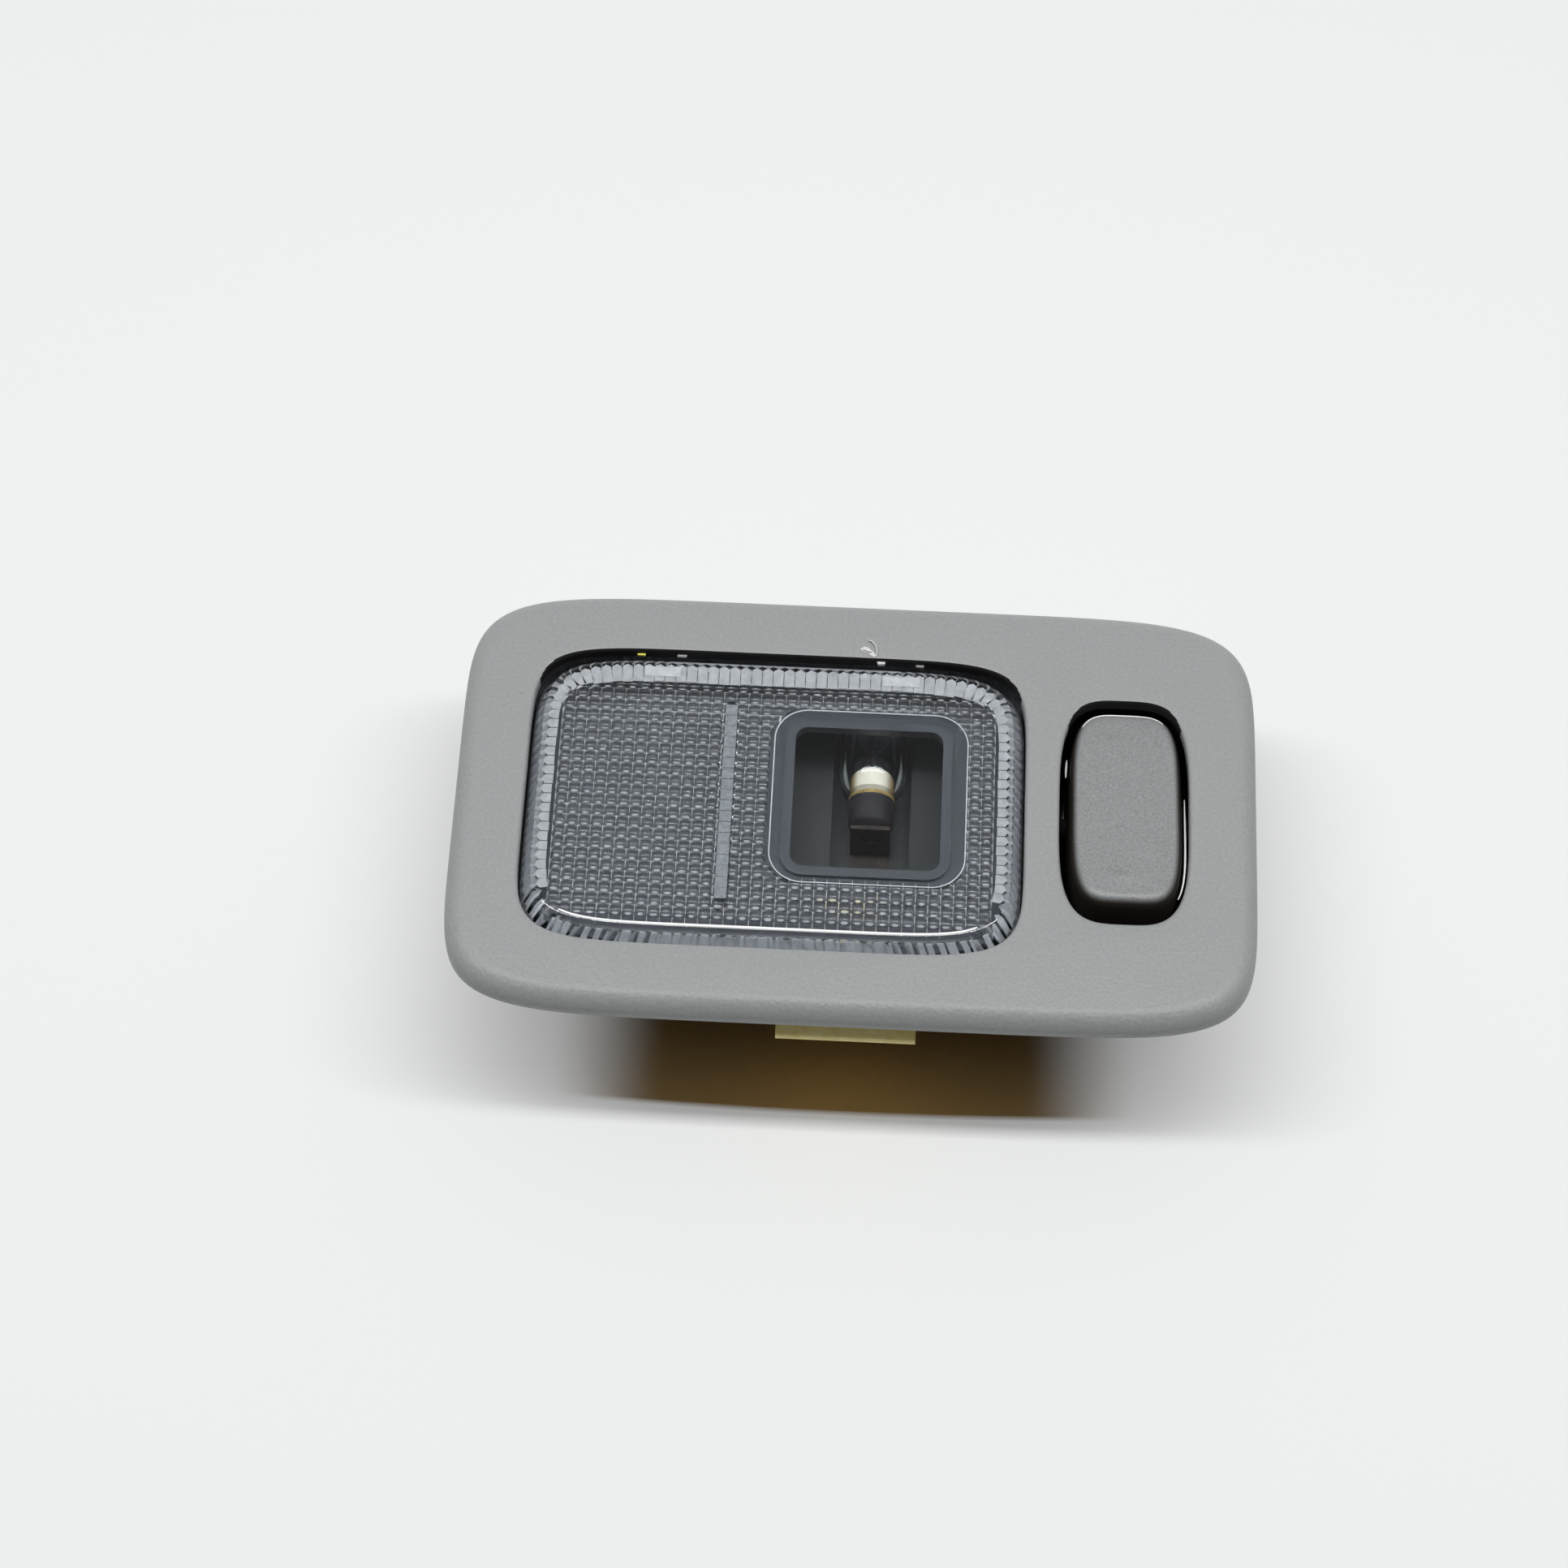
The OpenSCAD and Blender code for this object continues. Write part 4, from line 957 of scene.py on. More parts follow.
def crease_net(s):
    """Painted highlights along the creases between the cells, a soft dash across and a fine line along, and
    on the rib's rungs.
    """
    rng = random.Random(7)
    cells_x, cells_y = cell_counts(s)
    low = above_cells(s) + 0.02 * MM
    high = low + 0.04 * MM
    half_x = s.base_length / 2 - s.lean - s.side_band
    half_y = s.base_width / 2 - s.lean - 0.2 * MM
    far_y = s.base_width / 2 - s.lean - s.far_band
    keep_out = s.window / 2 + 0.2 * MM
    bm = bmesh.new()

    def left_out(x, y):
        in_window = max(abs(x - s.window_x), abs(y - s.window_y)) < keep_out
        return in_window or on_rib(s, x, y) or y > far_y or spread(s, x, y, half_x, half_y) > 1

    def dash(x, y, reach, width, along_x):
        corners = [(reach, 0), (reach * 0.5, width), (-reach * 0.5, width), (-reach, 0),
                   (-reach * 0.5, -width), (reach * 0.5, -width)]
        slab(bm, [(x + u, y + v) if along_x else (x + v, y + u) for u, v in corners], low, high)

    for j in range(-2, cells_y + 3):
        for i in range(-2, cells_x + 3):
            for along_x in (True, False):
                x = s.middle_x + (i - cells_x / 2 + (0.5 if along_x else 0.0)) * s.pitch
                y = (j - cells_y / 2 + (0.0 if along_x else 0.5)) * s.pitch
                if left_out(x, y):
                    continue
                half_line = s.net / 2 * rng.uniform(0.75, 1.2) * (1 - 0.35 * y / half_y)
                if along_x:
                    dash(x, y, s.pitch * 0.28 * rng.uniform(0.8, 1.15), half_line * 1.35, True)
                else:
                    dash(x, y, s.pitch * 0.45, half_line * 0.35, False)
    rungs = int(s.rib_length / s.pitch)
    for k in range(rungs):
        y = RIB_Y + (k - rungs / 2 + 0.5) * s.pitch
        wide, deep = s.rib_thickness * 0.47, s.pitch * rng.uniform(0.47, 0.495)
        slab(bm, [(s.rib_x + wide * u, y + deep * v) for u, v in ((-1, -1), (1, -1), (1, 1), (-1, 1))],
             low, high)
    return new_object("crease_net", bm)


def on_rib(s, x, y):
    """Whether a point lies on the rib."""
    return abs(x - s.rib_x) < s.rib_thickness / 2 and abs(y - RIB_Y) < s.rib_length / 2


def edge_bands(s):
    """Painted light: the pale toothed band under the lens's top edge, on the two ends and the far side."""
    rng = random.Random(11)
    teeth = flute_count(s)
    ring = lens_outline(s, s.lean, teeth)
    z = LENS_HIGH[2] - 0.75 * MM
    bm = bmesh.new()
    for k in range(teeth):
        a, b = Vector(ring[k]), Vector(ring[(k + 1) % teeth])
        out = Vector((b.y - a.y, a.x - b.x)).normalized()
        if out.y < -0.3:
            continue
        depth = s.side_band + (s.far_band - s.side_band) * max(out.y, 0.0) ** 2
        depth *= rng.uniform(0.9, 1.0)
        trim = (b - a) * 0.04
        peak = (a + b) / 2 + out * 0.35 * MM
        corners = [a + trim - out * 0.1 * MM, peak, b - trim - out * 0.1 * MM, b - trim - out * depth,
                   a + trim - out * depth]
        slab(bm, [(p.x + s.middle_x, p.y) for p in corners], z, z + 0.04 * MM)
    return new_object("edge_bands", bm)


def wall_streaks(s):
    """Painted light: streaks down the near wall, one for some of its flutes, just under the outer skin."""
    rng = random.Random(5)
    count = 4 * flute_count(s)
    rise, skin, thickness = 1.2 * MM, s.lean - s.edge, 0.1 * MM
    low_z, high_z = FACE_Z - s.shoulder + rise, LENS_HIGH[2] - s.edge
    low_in = skin * rise / (high_z - FACE_Z + s.shoulder) + 0.2 * MM
    high_in = skin + 0.2 * MM
    near_y = 6 * MM - s.base_width / 2
    section = [at(lens_outline(s, inset, count), z, (s.middle_x, 0.0)) for inset, z in (
        (low_in, low_z), (low_in + thickness, low_z), (high_in + thickness, high_z), (high_in, high_z))]
    bm = bmesh.new()
    k = 0
    while k < count - 4:
        span = rng.choice((1, 1, 2, 2, 3))
        if section[3][k][1] < near_y and rng.random() < 0.75:
            stack(bm, [[ring[i] for ring in section] for i in (k, k + span)])
        k += span + rng.choice((1, 1, 2))
    return new_object("wall_streaks", bm)


def tab_gleams(s):
    """Painted highlights: the two bright patches where the far snap tabs join the wall."""
    z = LENS_HIGH[2] - 0.65 * MM
    edge = s.base_width / 2 - s.lean
    near_y, far_y = edge - 1.9 * MM, edge - 0.2 * MM
    bm = bmesh.new()
    for left, right in in_mm(((-32.9, -27.4), (3.35, 8.9))):
        slab(bm, [(left, near_y), (right, near_y), (right, far_y), (left, far_y)], z, z + 0.05 * MM)
    return new_object("tab_gleams", bm)


def edge_gleam(s, dense=480):
    """A painted highlight: the bright line along the lens's near top edge, bending up at both corners."""
    z = LENS_HIGH[2] - 0.1 * MM
    near_side = lens_outline(s, s.lean, dense)[dense // 2:]
    path = [(x + s.middle_x, y, z) for x, y in near_side if y < -0.41 * s.base_width]
    return shade(tube("edge_gleam", path, 0.27 * MM, 10, swelling(0.45, 0.3)), 60.0)


class INTERIORLIGHT_OT_lens(Operator):
    """Build the clear lens with its flutes, cells, window and rib"""

    bl_idname = "interior_light.lens"
    bl_label = "Build Lens"

    def execute(self, context):
        s = context.scene.interior_light.lens
        clear = clear_plastic("Clear moulded plastic", s.tint, s.roughness, 1.49, 0.62)
        cover = dress(lens_cover(s), clear, replaces=("lens",))
        milky = clear_plastic("Milky fluted plastic", s.tint, 0.35, 1.49, 0.7, 1.0 - s.wall_frost)
        soft = clear_plastic("Soft moulded cells", [0.8 * c for c in s.tint], 0.2, 1.49, 0.62)
        frost_walls(s, cover, milky, soft)
        # Painted highlight round the window's edge.
        highlighted = grained_plastic("Frosted line", (0.62, 0.64, 0.66), 0.5, 0.0002, 0.00001)
        dress(window_outline(s), highlighted)
        # Painted reflection: a warm patch on the cells below the window, where they show the bulb's bright
        # shoulder.
        bulb_reflection = ((0.8 * MM, -17.4 * MM, LENS_HIGH[2] - MM), (10 * MM, 4.6 * MM, 9 * MM), 500.0, 1.0,
                (0.62, 0.57, 0.34))
        # Painted highlights on the cells' creases and on the rib.
        cell_highlights = grained_plastic("Pale creases", (0.34, 0.36, 0.37), 0.5, 0.0006, 0.00001, 1.2, [bulb_reflection])
        net = dress(crease_net(s), cell_highlights)
        rib_highlights = grained_plastic("Pale rib", (0.225, 0.240, 0.250), 0.5, 0.0006, 0.00001, 1.2)
        mark(net, rib_highlights, lambda face: on_rib(s, face.center.x, face.center.y))
        # Painted light: pale bands, streaks and gleams that stand in for light seen through the clear
        # walls.
        for build, name, tint, roughness in (
                (edge_bands, "Pale edge bands", (0.40, 0.41, 0.415), 0.5),
                (wall_streaks, "Light streaks", (0.68, 0.70, 0.73), 0.4),
                (tab_gleams, "Tab gleams", (0.52, 0.53, 0.53), 0.4)):
            pale = grained_plastic(name, tint, roughness, 0.0012, 0.00001, 0.8)
            dress(build(s), pale)
        # Painted highlight on the lens's near top edge.
        painted_highlight = grained_plastic("Polished edge", (1.0, 1.0, 1.0), 0.2, 0.0006, 0.000004, 0.02)
        dress(edge_gleam(s), painted_highlight)
        return {"FINISHED"}


# Rocker


def rocker_place(s):
    """Sets the rocker on its pivot, tipped towards its far end."""
    return Matrix.Translation(PIVOT + Vector((s.offset, 0, 0))) @ Matrix.Rotation(-s.tilt, 4, "X")


def rocker_shell(s):
    """The rocker, level about its pivot and then tipped: a soft-edged hollow cap with its post."""
    def ring(inset, z):
        return at(outline(s.width - 2 * inset, s.length - 2 * inset, s.power, 240), z)

    rings = [ring(0.15 * MM, -s.skirt), ring(0.0, -s.skirt + 0.15 * MM), ring(0.0, MM)]
    rings += [ring(s.draft + s.edge * inward, s.top - s.edge + s.edge * rise)
              for inward, rise in quarter(14)]
    shell = loft("rocker_cap", rings)
    hollow = loft("hollow", [ring(s.wall, -s.skirt - MM), ring(s.wall + s.draft, s.top - s.edge - 0.4 * MM),
                             ring(s.wall + s.draft + MM, s.top - s.wall)])
    combined(shell, [hollow], "DIFFERENCE")
    combined(shell, [drum("post", s.post / 2, -s.post_end, s.top - s.wall / 2)], "UNION")
    bore = drum("bore", s.bore / 2, -s.post_end - MM, s.bore_top)
    along_x = Matrix.Rotation(math.pi / 2, 4, "Y")
    bearing = turned(drum("bearing", s.bearing / 2, -s.width, s.width), along_x)
    combined(bearing, [drum("keep", s.post / 2, -s.post_end, s.post_end)], "DIFFERENCE")
    combined(shell, [bore, bearing], "DIFFERENCE")
    return shade(turned(shell, rocker_place(s)), 32.0)


def paint_near_shade(mat, shadow):
    """Paints shade on the faces that look to the near side or aside, where the rocker's edges lie unlit."""
    tree = mat.node_tree
    x, y, _ = axes(tree, add(tree, "ShaderNodeNewGeometry").outputs["Normal"])
    near = maths(tree, "MINIMUM", y, 0.0)
    lean = maths(tree, "SQRT", maths(tree, "MULTIPLY_ADD", near, near, maths(tree, "MULTIPLY", x, x)))
    facing = ramp(tree, lean, 0.30, 0.85)
    overlaid(mat, facing, shadow)
    put(tree, tree.nodes["Principled BSDF"].inputs["Specular IOR Level"],
        maths(tree, "MULTIPLY_ADD", facing, -0.45, 0.5))


def rocker_gleams(s):
    """Painted highlights: fine bright lines on the rocker's far edge and on its two long sides."""
    t = math.radians(50)
    inset = s.draft + s.edge * (1 - math.cos(t))
    far_z, side_z = s.top - s.edge + s.edge * math.sin(t), s.top - 2.6 * MM
    points = outline(s.width - 2 * inset, s.length - 2 * inset, s.power, 480)
    far = [(x, y, far_z) for x, y in points if y > 0.40 * s.length and x < 0.33 * s.width]
    lines = [tube("far_gleam", far, 0.13 * MM, 8, swelling(0.35, 0.4))]
    skin = outline(s.width - 0.1 * MM, s.length - 0.1 * MM, s.power, 480)
    for side, low, high in ((1, -15.5 * MM, 3.5 * MM), (-1, 6.6 * MM, 10.2 * MM)):
        run = sorted((y, x) for x, y in skin if x * side > 0 and low < y < high)
        path = [(x + side * 0.22 * MM, y, side_z) for y, x in run]
        lines.append(tube("side_gleam", path, 0.17 * MM, 8, swelling(0.3, 0.5)))
    return shade(turned(joined("rocker_gleams", lines), rocker_place(s)), 60.0)


class INTERIORLIGHT_OT_rocker(Operator):
    """Build the rocker switch's cap"""

    bl_idname = "interior_light.rocker"
    bl_label = "Build Rocker"

    def execute(self, context):
        s = context.scene.interior_light.rocker
        # The first patch is a painted highlight on the rocker's raised near end; the other two are darker
        # patches.
        scuffs_and_highlight = [((40.4 * MM, -12.6 * MM, FACE_Z + 2 * MM), (5.5 * MM, 1.6 * MM, 3 * MM), 1100.0, 0.16,
                   (0.48, 0.48, 0.48)),
                  ((39.0 * MM, -11.0 * MM, FACE_Z + 2 * MM), (3.5 * MM, 1.4 * MM, 3 * MM), 1100.0, 0.5,
                   (0.16, 0.16, 0.16)),
                  ((38.5 * MM, 14.5 * MM, FACE_Z - MM), (4.0 * MM, 1.5 * MM, 3 * MM), 1300.0, 0.45,
                   (0.17, 0.17, 0.17))]
        grey = grained_plastic("Smooth grey plastic", s.colour, s.roughness, 0.00036, 0.00003, 1.0, scuffs_and_highlight)
        # Painted shade on the rocker's faces that look to the near side or aside.
        paint_near_shade(grey, (0.020, 0.017, 0.014))
        dress(rocker_shell(s), grey, body="switch_rocker", replaces=("rocker",))
        # Painted highlights on the rocker's far edge and long sides.
        painted_highlight = grained_plastic("Polished rocker edge", (0.95, 0.95, 0.93), 0.25, 0.0006, 0.000004, 0.05)
        dress(rocker_gleams(s), painted_highlight, body="switch_rocker")
        return {"FINISHED"}


# Bulb


def along_bulb():
    """Lays a piece that was turned about Z along the bulb's axis, starting at its near tip."""
    axis_z = (GLASS_LOW[2] + GLASS_HIGH[2]) / 2
    return Matrix.Translation((BULB_X, CAP_LOW[1], axis_z)) @ Matrix.Rotation(-math.pi / 2, 4, "X")


def glass_profile(s, inset):
    """Half of the glass's outline, from its near neck to its far one."""
    r_body = (GLASS_HIGH[0] - GLASS_LOW[0]) / 2 - inset
    r_neck = s.neck / 2 - inset
    neck_in = 3 * MM
    near = [(r_neck + (r_body - r_neck) * rise, s.cap_length + inset + s.shoulder * inward)
            for inward, rise in quarter(16)]
    far = [(r, BULB_LENGTH - z) for r, z in reversed(near)]
    return [(r_neck, s.cap_length - neck_in), *near, *far, (r_neck, BULB_LENGTH - s.cap_length + neck_in)]


def glass_gleams(s):
    """Painted highlights: the pale crescents along both sides of the glass's near shoulder, just inside its
    wall.
    """
    skin = glass_profile(s, s.wall + 0.42 * MM)[1:18]
    start = s.cap_length + 1.6 * MM
    lines = []
    for side in (-1, 1):
        path = [(side * r, 0, z) for r, z in skin if z > start]
        path.append((path[-1][0], 0, path[-1][2] + 2.6 * MM))
        lines.append(tube("crescent", path, 0.36 * MM, 10, swelling(0.15, 0.7)))
    return joined("glass_gleams", lines)


def cap_profile():
    """A cap's closed section: a soldered tip, a cone and a rolled rim."""
    r = (CAP_HIGH[0] - CAP_LOW[0]) / 2
    rim = CAP_HIGH[1] - CAP_LOW[1]
    tip = in_mm([(0, 0), (0.6, 0.02), (0.95, 0.2), (1.1, 0.45), (2.2, 0.95)])
    cone = [(r - 0.35 * MM, 1.35 * MM), (r - 0.12 * MM, 1.7 * MM)]
    roll = [(r - inset, rim - down) for inset, down in in_mm([
        (0.1, 0.9), (0.2, 0.7), (0.1, 0.5), (0, 0.22), (0.05, 0.05), (0.18, 0), (0.33, 0.12), (0.36, 0.5)])]
    return [*tip, *cone, *roll, (r - 0.36 * MM, 2.0 * MM), (0, 2.0 * MM)]


def crimp_profile():
    """The closed section of the crimped rim where the near cap grips the glass."""
    r = (CAP_HIGH[0] - CAP_LOW[0]) / 2
    rim = CAP_HIGH[1] - CAP_LOW[1]
    return [(r + out, rim + up) for out, up in in_mm([
        (-0.3, -0.3), (0.02, -0.3), (0.06, 0), (0, 0.25), (-0.3, 0.2)])]


def stem_profile(s):
    """The stem that closes the glass's near end: a foot in the neck and a domed head."""
    foot = s.neck / 2 - s.wall - 0.1 * MM
    start, end = 2.1 * MM, s.cap_length + s.stem_reach
    dome = 2 * MM
    head = [(s.stem_radius * (1 - inward), end - dome + dome * rise) for inward, rise in quarter(12)[:-1]]
    return [(0, start), (foot, start), (foot, s.cap_length + 0.6 * MM),
            (s.stem_radius, s.cap_length + 1.2 * MM), *head, (0, end)]


def coil_path(turns, radius, start, end, per_turn=14):
    """Points along a coil about Z."""
    steps = turns * per_turn
    return [(radius * math.cos(2 * math.pi * i / per_turn), radius * math.sin(2 * math.pi * i / per_turn),
             start + (end - start) * i / steps) for i in range(steps + 1)]


def paint_side_reflections(mat, brown):
    """Paints a golden brown reflection onto a piece of the bulb towards both its sides."""
    tree = mat.node_tree
    aside = maths(tree, "ABSOLUTE", maths(tree, "SUBTRACT", axes(tree, place_on(tree))["X"], BULB_X))
    overlaid(mat, ramp(tree, aside, 1.9 * MM, 3.1 * MM), brown)


class INTERIORLIGHT_OT_bulb(Operator):
    """Build the tubular bulb with its caps, stem, leads and coil"""

    bl_idname = "interior_light.bulb"
    bl_label = "Build Bulb"

    def execute(self, context):
        s = context.scene.interior_light.bulb
        place = along_bulb()

        def lathed(name, profile, segments, closed=False, way=place):
            return shade(turned(revolve(name, profile, segments, closed), way), 40.0)

        clear = clear_plastic("Bulb glass", s.glass, 0.0, 1.5, 0.95)
        envelope = glass_profile(s, 0.0) + glass_profile(s, s.wall)[::-1]
        glass = lathed("bulb_envelope", envelope, 96, closed=True)
        dress(glass, clear, replaces=("bulb_glass",))
        # Painted highlights on the glass's near shoulder.
        pale = grained_plastic("Pale glass gleam", (0.25, 0.255, 0.215), 0.5, 0.0006, 0.00001, 0.3)
        dress(shade(turned(glass_gleams(s), place), 60.0), pale)

        # Painted shade: the caps are near-black because they lie in shade.
        metal = worn_metal("Bulb cap metal", s.cap, [0.6 * c for c in s.cap], 0.7, 260.0, metallic=0.2)
        near = lathed("bulb_cap_near_shell", cap_profile(), 72)
        dress(near, metal, replaces=("bulb_cap_near",))
        flip = Matrix.Translation((0, 0, BULB_LENGTH)) @ Matrix.Rotation(math.pi, 4, "X")
        far = lathed("bulb_cap_far_shell", cap_profile(), 72, way=place @ flip)
        dress(far, metal, replaces=("bulb_cap_far",))
        gold = worn_metal("Crimped gold rim", (0.62, 0.44, 0.14), (0.24, 0.15, 0.05), 0.4, 700.0,
                          metallic=0.3)
        dress(lathed("cap_crimp", crimp_profile(), 72, closed=True), gold)

        # The stem's bright cream is partly a painted highlight of the glass's near shoulder; its golden
        # brown sides are a painted reflection.
        highlight_cream = grained_plastic("Cream stem glass", s.stem, 0.6, 0.0005, 0.00004, 0.15)
        paint_side_reflections(highlight_cream, (0.42, 0.24, 0.07))
        stem = lathed("bulb_stem_domed", stem_profile(s), 64)
        dress(stem, highlight_cream, replaces=("bulb_stem",))

        start, end = (y - CAP_LOW[1] for y in (FILAMENT_LOW[1], FILAMENT_HIGH[1]))
        dark = worn_metal("Filament wire", (0.20, 0.20, 0.21), (0.10, 0.10, 0.11), 0.4, 900.0)
        coil = tube("filament_coil", coil_path(s.coil_turns, 0.36 * MM, start, end), 0.07 * MM, 6)
        dress(shade(turned(coil, place), 60.0), dark, replaces=("filament",))
        bright = worn_metal("Lead wire", (0.5, 0.5, 0.5), (0.3, 0.3, 0.3), 0.35, 700.0)
        stem_end = s.cap_length + s.stem_reach
        ends = ((stem_end - 0.5 * MM, start + 0.2 * MM), (BULB_LENGTH - 3 * MM, end - 0.2 * MM))
        wires = [tube("lead", [(0, 0, a), (0.1 * MM, 0, a + (b - a) * 0.4), (0.3 * MM, 0, b)], 0.2 * MM)
                 for a, b in ends]
        leads = shade(turned(joined("lead_supports", wires), place), 60.0)
        dress(leads, bright, replaces=("lead_wires",))
        return {"FINISHED"}


# Housing and what is in it


def dull_near_pivot(mat, reach=(14 * MM, 2.6 * MM, 2.6 * MM)):
    """Takes the shine off the pivot stubs, which lie in the rocker's shadow."""
    tree = mat.node_tree
    shader = tree.nodes["Principled BSDF"].inputs
    near = maths(tree, "LESS_THAN", reaches_from(tree, PIVOT, reach), 1.0)
    put(tree, shader["Roughness"], maths(tree, "MULTIPLY_ADD", near, 0.8, 0.12))
    put(tree, shader["Specular IOR Level"], maths(tree, "MULTIPLY_ADD", near, -0.5, 0.5))


class INTERIORLIGHT_OT_housing(Operator):
    """Finish the black housing, the mask, the cover, the strips and the screws"""

    bl_idname = "interior_light.housing"
    bl_label = "Finish Housing"

    def execute(self, context):
        s = context.scene.interior_light.housing
        gloss = grained_plastic("Glossy black plastic", s.black, 0.12, 0.0012, 0.000004, 0.3)
        paler = [1.6 * c for c in s.black]
        satin = grained_plastic("Satin black plastic", paler, 0.42, 0.0005, 0.00002, 0.3)
        dull_near_pivot(gloss)
        dull = grained_plastic("Dull black plastic", (0.021, 0.024, 0.022), 0.6, 0.0006, 0.00002, 0.3)
        mask = grained_plastic("Mask plastic", s.mask, 0.38, 0.0004, 0.000015, 0.3)
        # Painted shade: the brass colour is darkened because the strips lie in shade.
        brass = worn_metal("Stamped brass", s.brass, [0.62 * c for c in s.brass], 0.55, 320.0)
        plated = worn_metal("Dull plating", s.plating, [0.7 * c for c in s.plating], 0.4, 300.0)
        steel = worn_metal("Drawn steel", (0.55, 0.56, 0.57), (0.4, 0.4, 0.42), 0.32, 500.0)
        white = grained_plastic("White plastic", (0.72, 0.72, 0.68), 0.35, 0.0005, 0.00001)
        moulded = {"lamp_housing": gloss, "lamp_tray": dull, "rear_cover": satin, "light_mask": mask}
        fitted = {
            "strip_supply": brass, "strip_lamp": brass, "strip_door": brass, "strip_earth": brass,
            "contact_rocker": brass, "contact_buttons": plated, "bezel_screws": plated,
            "cover_screws": plated, "detent_plunger": white, "detent_spring": steel,
        }
        for node, material in {**moulded, **fitted}.items():
            painted(frame["nodes"][node], material)
        for node in moulded:
            softened(frame["nodes"][node], s.softening)
        return {"FINISHED"}


# Spring clip


class INTERIORLIGHT_OT_clip(Operator):
    """Finish the yellow passivated spring clip"""

    bl_idname = "interior_light.clip"
    bl_label = "Finish Clip"

    def execute(self, context):
        s = context.scene.interior_light.clip
        gold = worn_metal("Yellow passivated steel", s.gold, s.dark_gold, 0.5, 420.0, metallic=0.0)
        softened(painted(frame["nodes"]["spring_clip"], gold), s.softening)
        return {"FINISHED"}


# Stage


def floor_material(tint, lift):
    """Pale floor whose shadows look lifted to the camera, with a painted brown shadow under the lamp."""
    full_x, end_x = 27 * MM, 46 * MM
    near_y, far_y = -37.3 * MM, -8 * MM
    bow = 0.00065 / MM
    # Painted shadow: a brown colour under the lamp's near edge, masked by deep, where the floor gets no
    # lift.
    brown = [c * w for c, w in zip(tint, (0.92, 0.58, 0.24))]
    mat, tree, shader = principled("Pale floor", 0.9, Specular_IOR_Level=0.1)
    x, y, _ = axes(tree, place_on(tree))
    aside = maths(tree, "ABSOLUTE", x)
    bowed = maths(tree, "MULTIPLY_ADD", maths(tree, "MULTIPLY", aside, aside), bow, near_y)
    front = maths(tree, "MULTIPLY", maths(tree, "SUBTRACT", y, bowed), 1 / MM, clamp=True)
    under = maths(tree, "LESS_THAN", y, far_y)
    deep = maths(tree, "MULTIPLY", ramp(tree, aside, end_x, full_x), maths(tree, "MULTIPLY", front, under))
    put(tree, shader["Base Color"], mixed(tree, deep, tint, brown))
    seen = add(tree, "ShaderNodeLightPath").outputs["Is Camera Ray"]
    amount = maths(tree, "MULTIPLY_ADD", deep, -lift, lift)
    pale = add(tree, "ShaderNodeEmission", Color=(1.0, 1.0, 1.0))
    shown(tree, maths(tree, "MULTIPLY", amount, seen), pale)
    return mat


def stage_world(strength, near_share):
    """Light from above that fades towards the near side, with a white background."""
    world = bpy.data.worlds.new("Studio")
    world.use_nodes = True
    tree = world.node_tree
    back = tree.nodes["Background"].inputs
    path = add(tree, "ShaderNodeLightPath").outputs
    _, y, z = axes(tree, add(tree, "ShaderNodeTexCoord").outputs["Generated"])
    lean = maths(tree, "MULTIPLY_ADD", y, 0.9, maths(tree, "MULTIPLY_ADD", z, 1.3, -0.25))
    fade = maths(tree, "MINIMUM", maths(tree, "MAXIMUM", lean, near_share), 1.0)
    soft = maths(tree, "MULTIPLY", fade, strength)
    height = ramp(tree, z, 0.15, 0.75, 0.95, 0.16, kind="LINEAR")
    front = maths(tree, "MAXIMUM", maths(tree, "MULTIPLY_ADD", y, 0.8, 0.6), 0.15)
    gleam = maths(tree, "MULTIPLY", height, maths(tree, "MINIMUM", front, 1.0))
    glossy = maths(tree, "MAXIMUM", path["Is Glossy Ray"], path["Is Transmission Ray"])
    lit = maths(tree, "MULTIPLY_ADD", glossy, maths(tree, "SUBTRACT", gleam, soft), soft)
    camera_gain = maths(tree, "MULTIPLY", path["Is Camera Ray"], maths(tree, "SUBTRACT", 1.0, lit))
    put(tree, back["Strength"], maths(tree, "ADD", lit, camera_gain))
    put(tree, back["Color"], (1.0, 1.0, 1.0))
    bpy.context.scene.world = world


def portrait_camera(s):
    """The camera on its line of sight, turned and rolled as for the portrait."""
    back = Vector((math.sin(s.yaw) * math.cos(s.elevation), -math.cos(s.yaw) * math.cos(s.elevation),
                   math.sin(s.elevation)))
    right = (-back).cross(Vector((0, 0, 1))).normalized()
    up = right.cross(-back)
    right_rolled = math.cos(s.roll) * right + math.sin(s.roll) * up
    up_rolled = math.cos(s.roll) * up - math.sin(s.roll) * right
    turn = Matrix((right_rolled, up_rolled, back)).transposed().to_4x4()
    camera = bpy.data.cameras.new("Portrait camera")
    camera.lens = s.lens_mm
    camera.sensor_width = 36.0
    camera.clip_start = 0.01
    holder = bpy.data.objects.new("Portrait camera", camera)
    holder.matrix_world = Matrix.Translation(Vector(s.aim) + back * s.distance) @ turn
    return holder


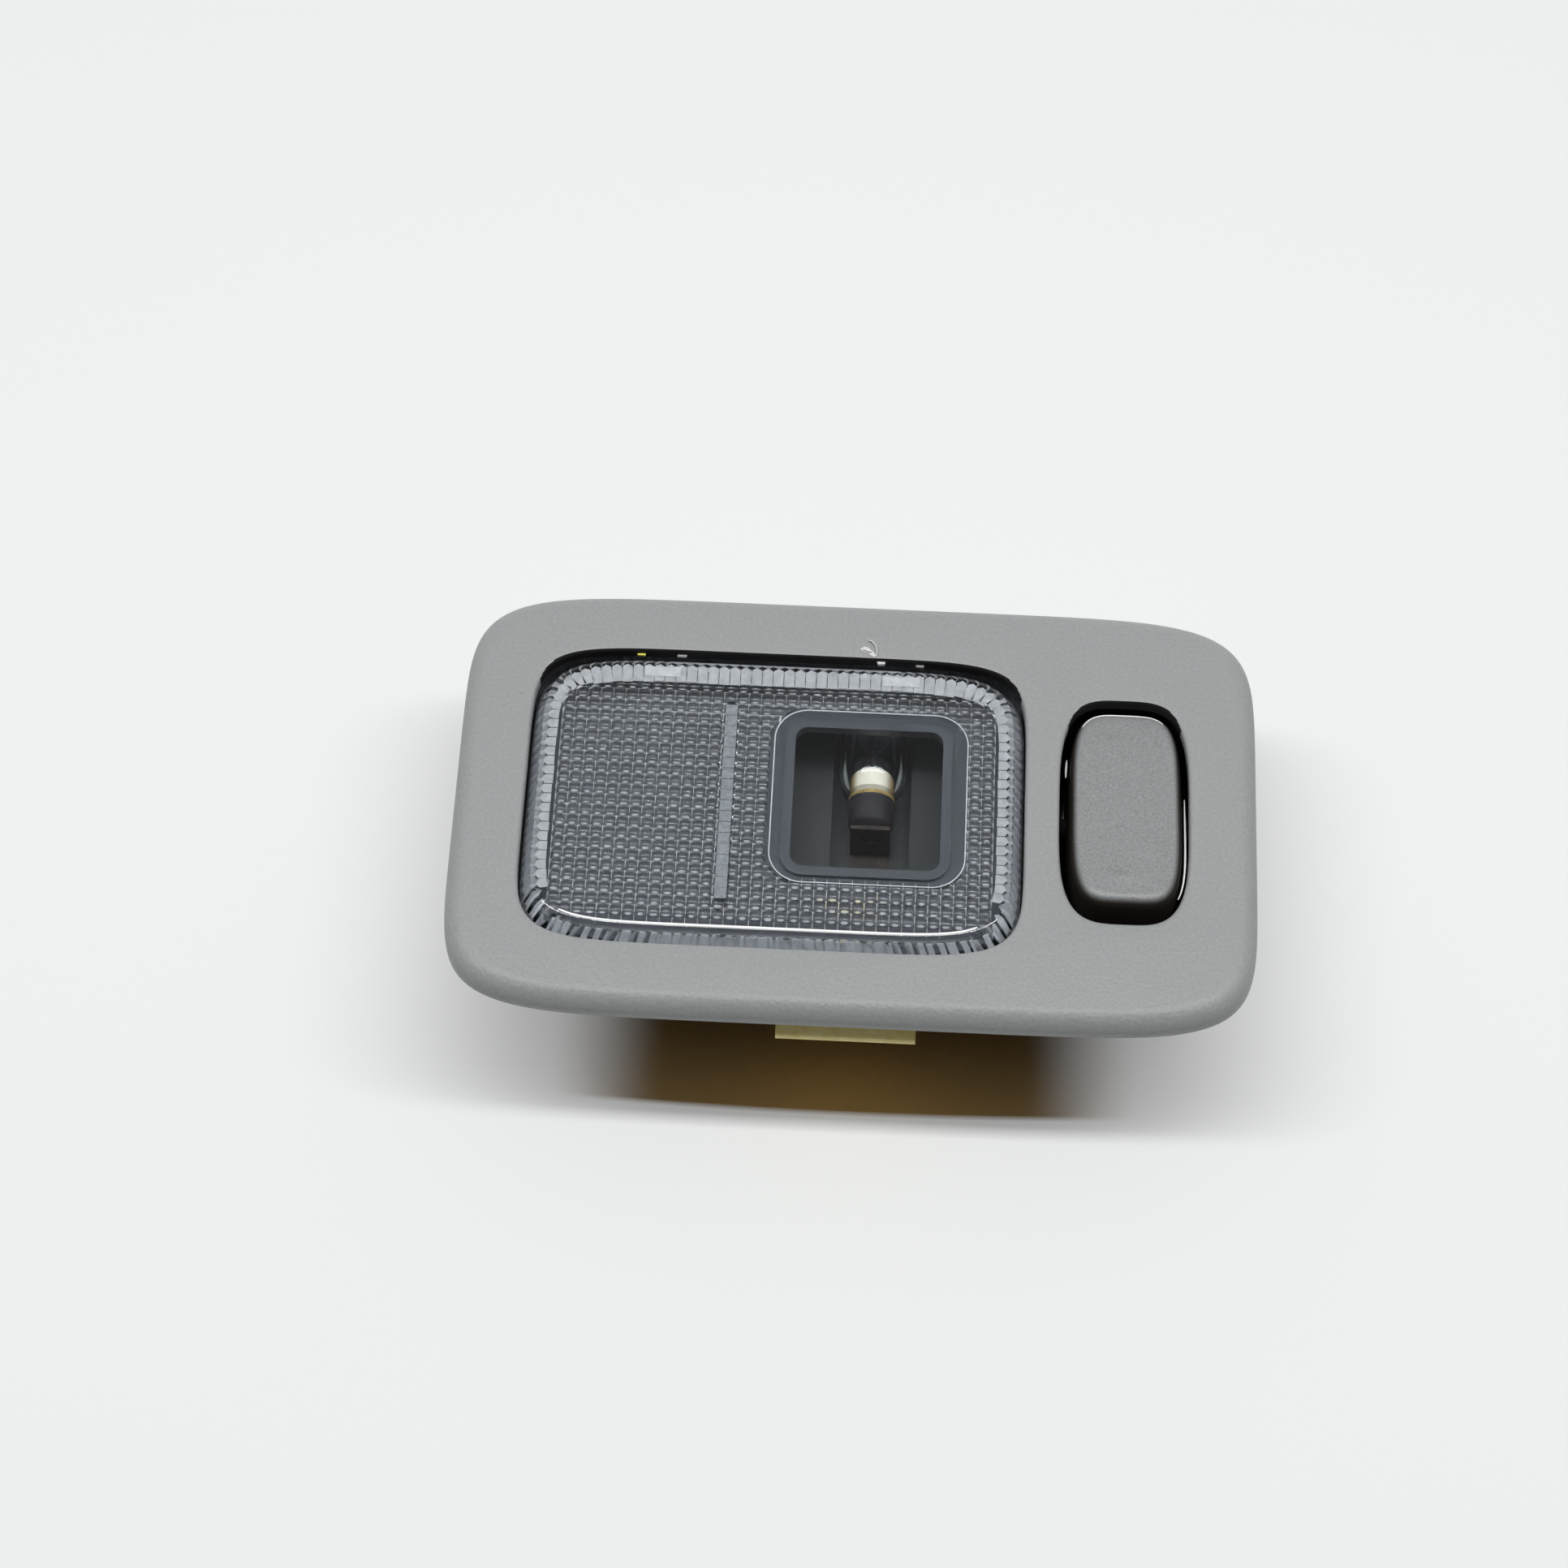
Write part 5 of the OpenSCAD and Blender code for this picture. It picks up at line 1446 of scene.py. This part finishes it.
class INTERIORLIGHT_OT_stage(Operator):
    """Set up the floor, the overhead softbox and the camera"""

    bl_idname = "interior_light.stage"
    bl_label = "Set Stage"

    def execute(self, context):
        s = context.scene.interior_light.stage
        scene = context.scene
        bm = bmesh.new()
        bmesh.ops.create_grid(bm, x_segments=2, y_segments=2, size=4.0)
        floor = new_object("floor", bm)
        floor.location.z = CAD_BOX[0][2] - 0.1 * MM
        floor.data.materials.append(floor_material(s.floor, s.lift))

        lamp = bpy.data.lights.new("Overhead softbox", "AREA")
        lamp.shape = "RECTANGLE"
        lamp.size, lamp.size_y = s.key_length, s.key_width
        lamp.energy = s.key_power
        holder = bpy.data.objects.new("Overhead softbox", lamp)
        holder.location = (0.0, s.key_y, s.key_height)
        aim = Vector((0.0, 0.0, FACE_Z)) - holder.location
        holder.rotation_euler = aim.to_track_quat("-Z", "Y").to_euler()
        scene.collection.objects.link(holder)
        stage_world(s.world, s.near_share)

        camera = portrait_camera(s)
        scene.collection.objects.link(camera)
        scene.camera = camera
        scene.view_settings.view_transform = "Standard"
        return {"FINISHED"}


class INTERIORLIGHT_PT_panel(Panel):
    """Lists the steps that build the light"""

    bl_label = "Interior Light"
    bl_idname = "INTERIORLIGHT_PT_panel"
    bl_space_type = "VIEW_3D"
    bl_region_type = "UI"
    bl_category = "Interior Light"

    def draw(self, context):
        for step in STEPS:
            self.layout.operator(step.bl_idname)
        settings = context.scene.interior_light
        for group in (settings.bezel, settings.lens, settings.rocker, settings.housing, settings.bulb,
                      settings.clip, settings.stage):
            section = self.layout.box()
            for key in group.__annotations__:
                section.prop(group, key)


GROUPS = (BezelSettings, LensSettings, RockerSettings, HousingSettings, BulbSettings, ClipSettings,
          StageSettings, LightSettings)
STEPS = (INTERIORLIGHT_OT_stage, INTERIORLIGHT_OT_housing, INTERIORLIGHT_OT_bezel, INTERIORLIGHT_OT_lens,
         INTERIORLIGHT_OT_rocker, INTERIORLIGHT_OT_bulb, INTERIORLIGHT_OT_clip)


def register():
    """Registers the settings, the steps and the panel."""
    for cls in (*GROUPS, *STEPS, INTERIORLIGHT_PT_panel):
        bpy.utils.register_class(cls)
    bpy.types.Scene.interior_light = PointerProperty(type=LightSettings)


def unregister():
    """Takes back what register did."""
    del bpy.types.Scene.interior_light
    for cls in reversed((*GROUPS, *STEPS, INTERIORLIGHT_PT_panel)):
        bpy.utils.unregister_class(cls)


def main():
    """Builds everything in order."""
    register()
    for step in (bpy.ops.interior_light.stage, bpy.ops.interior_light.housing, bpy.ops.interior_light.bezel,
                 bpy.ops.interior_light.lens, bpy.ops.interior_light.rocker, bpy.ops.interior_light.bulb,
                 bpy.ops.interior_light.clip):
        step()


if __name__ == "__main__":
    main()
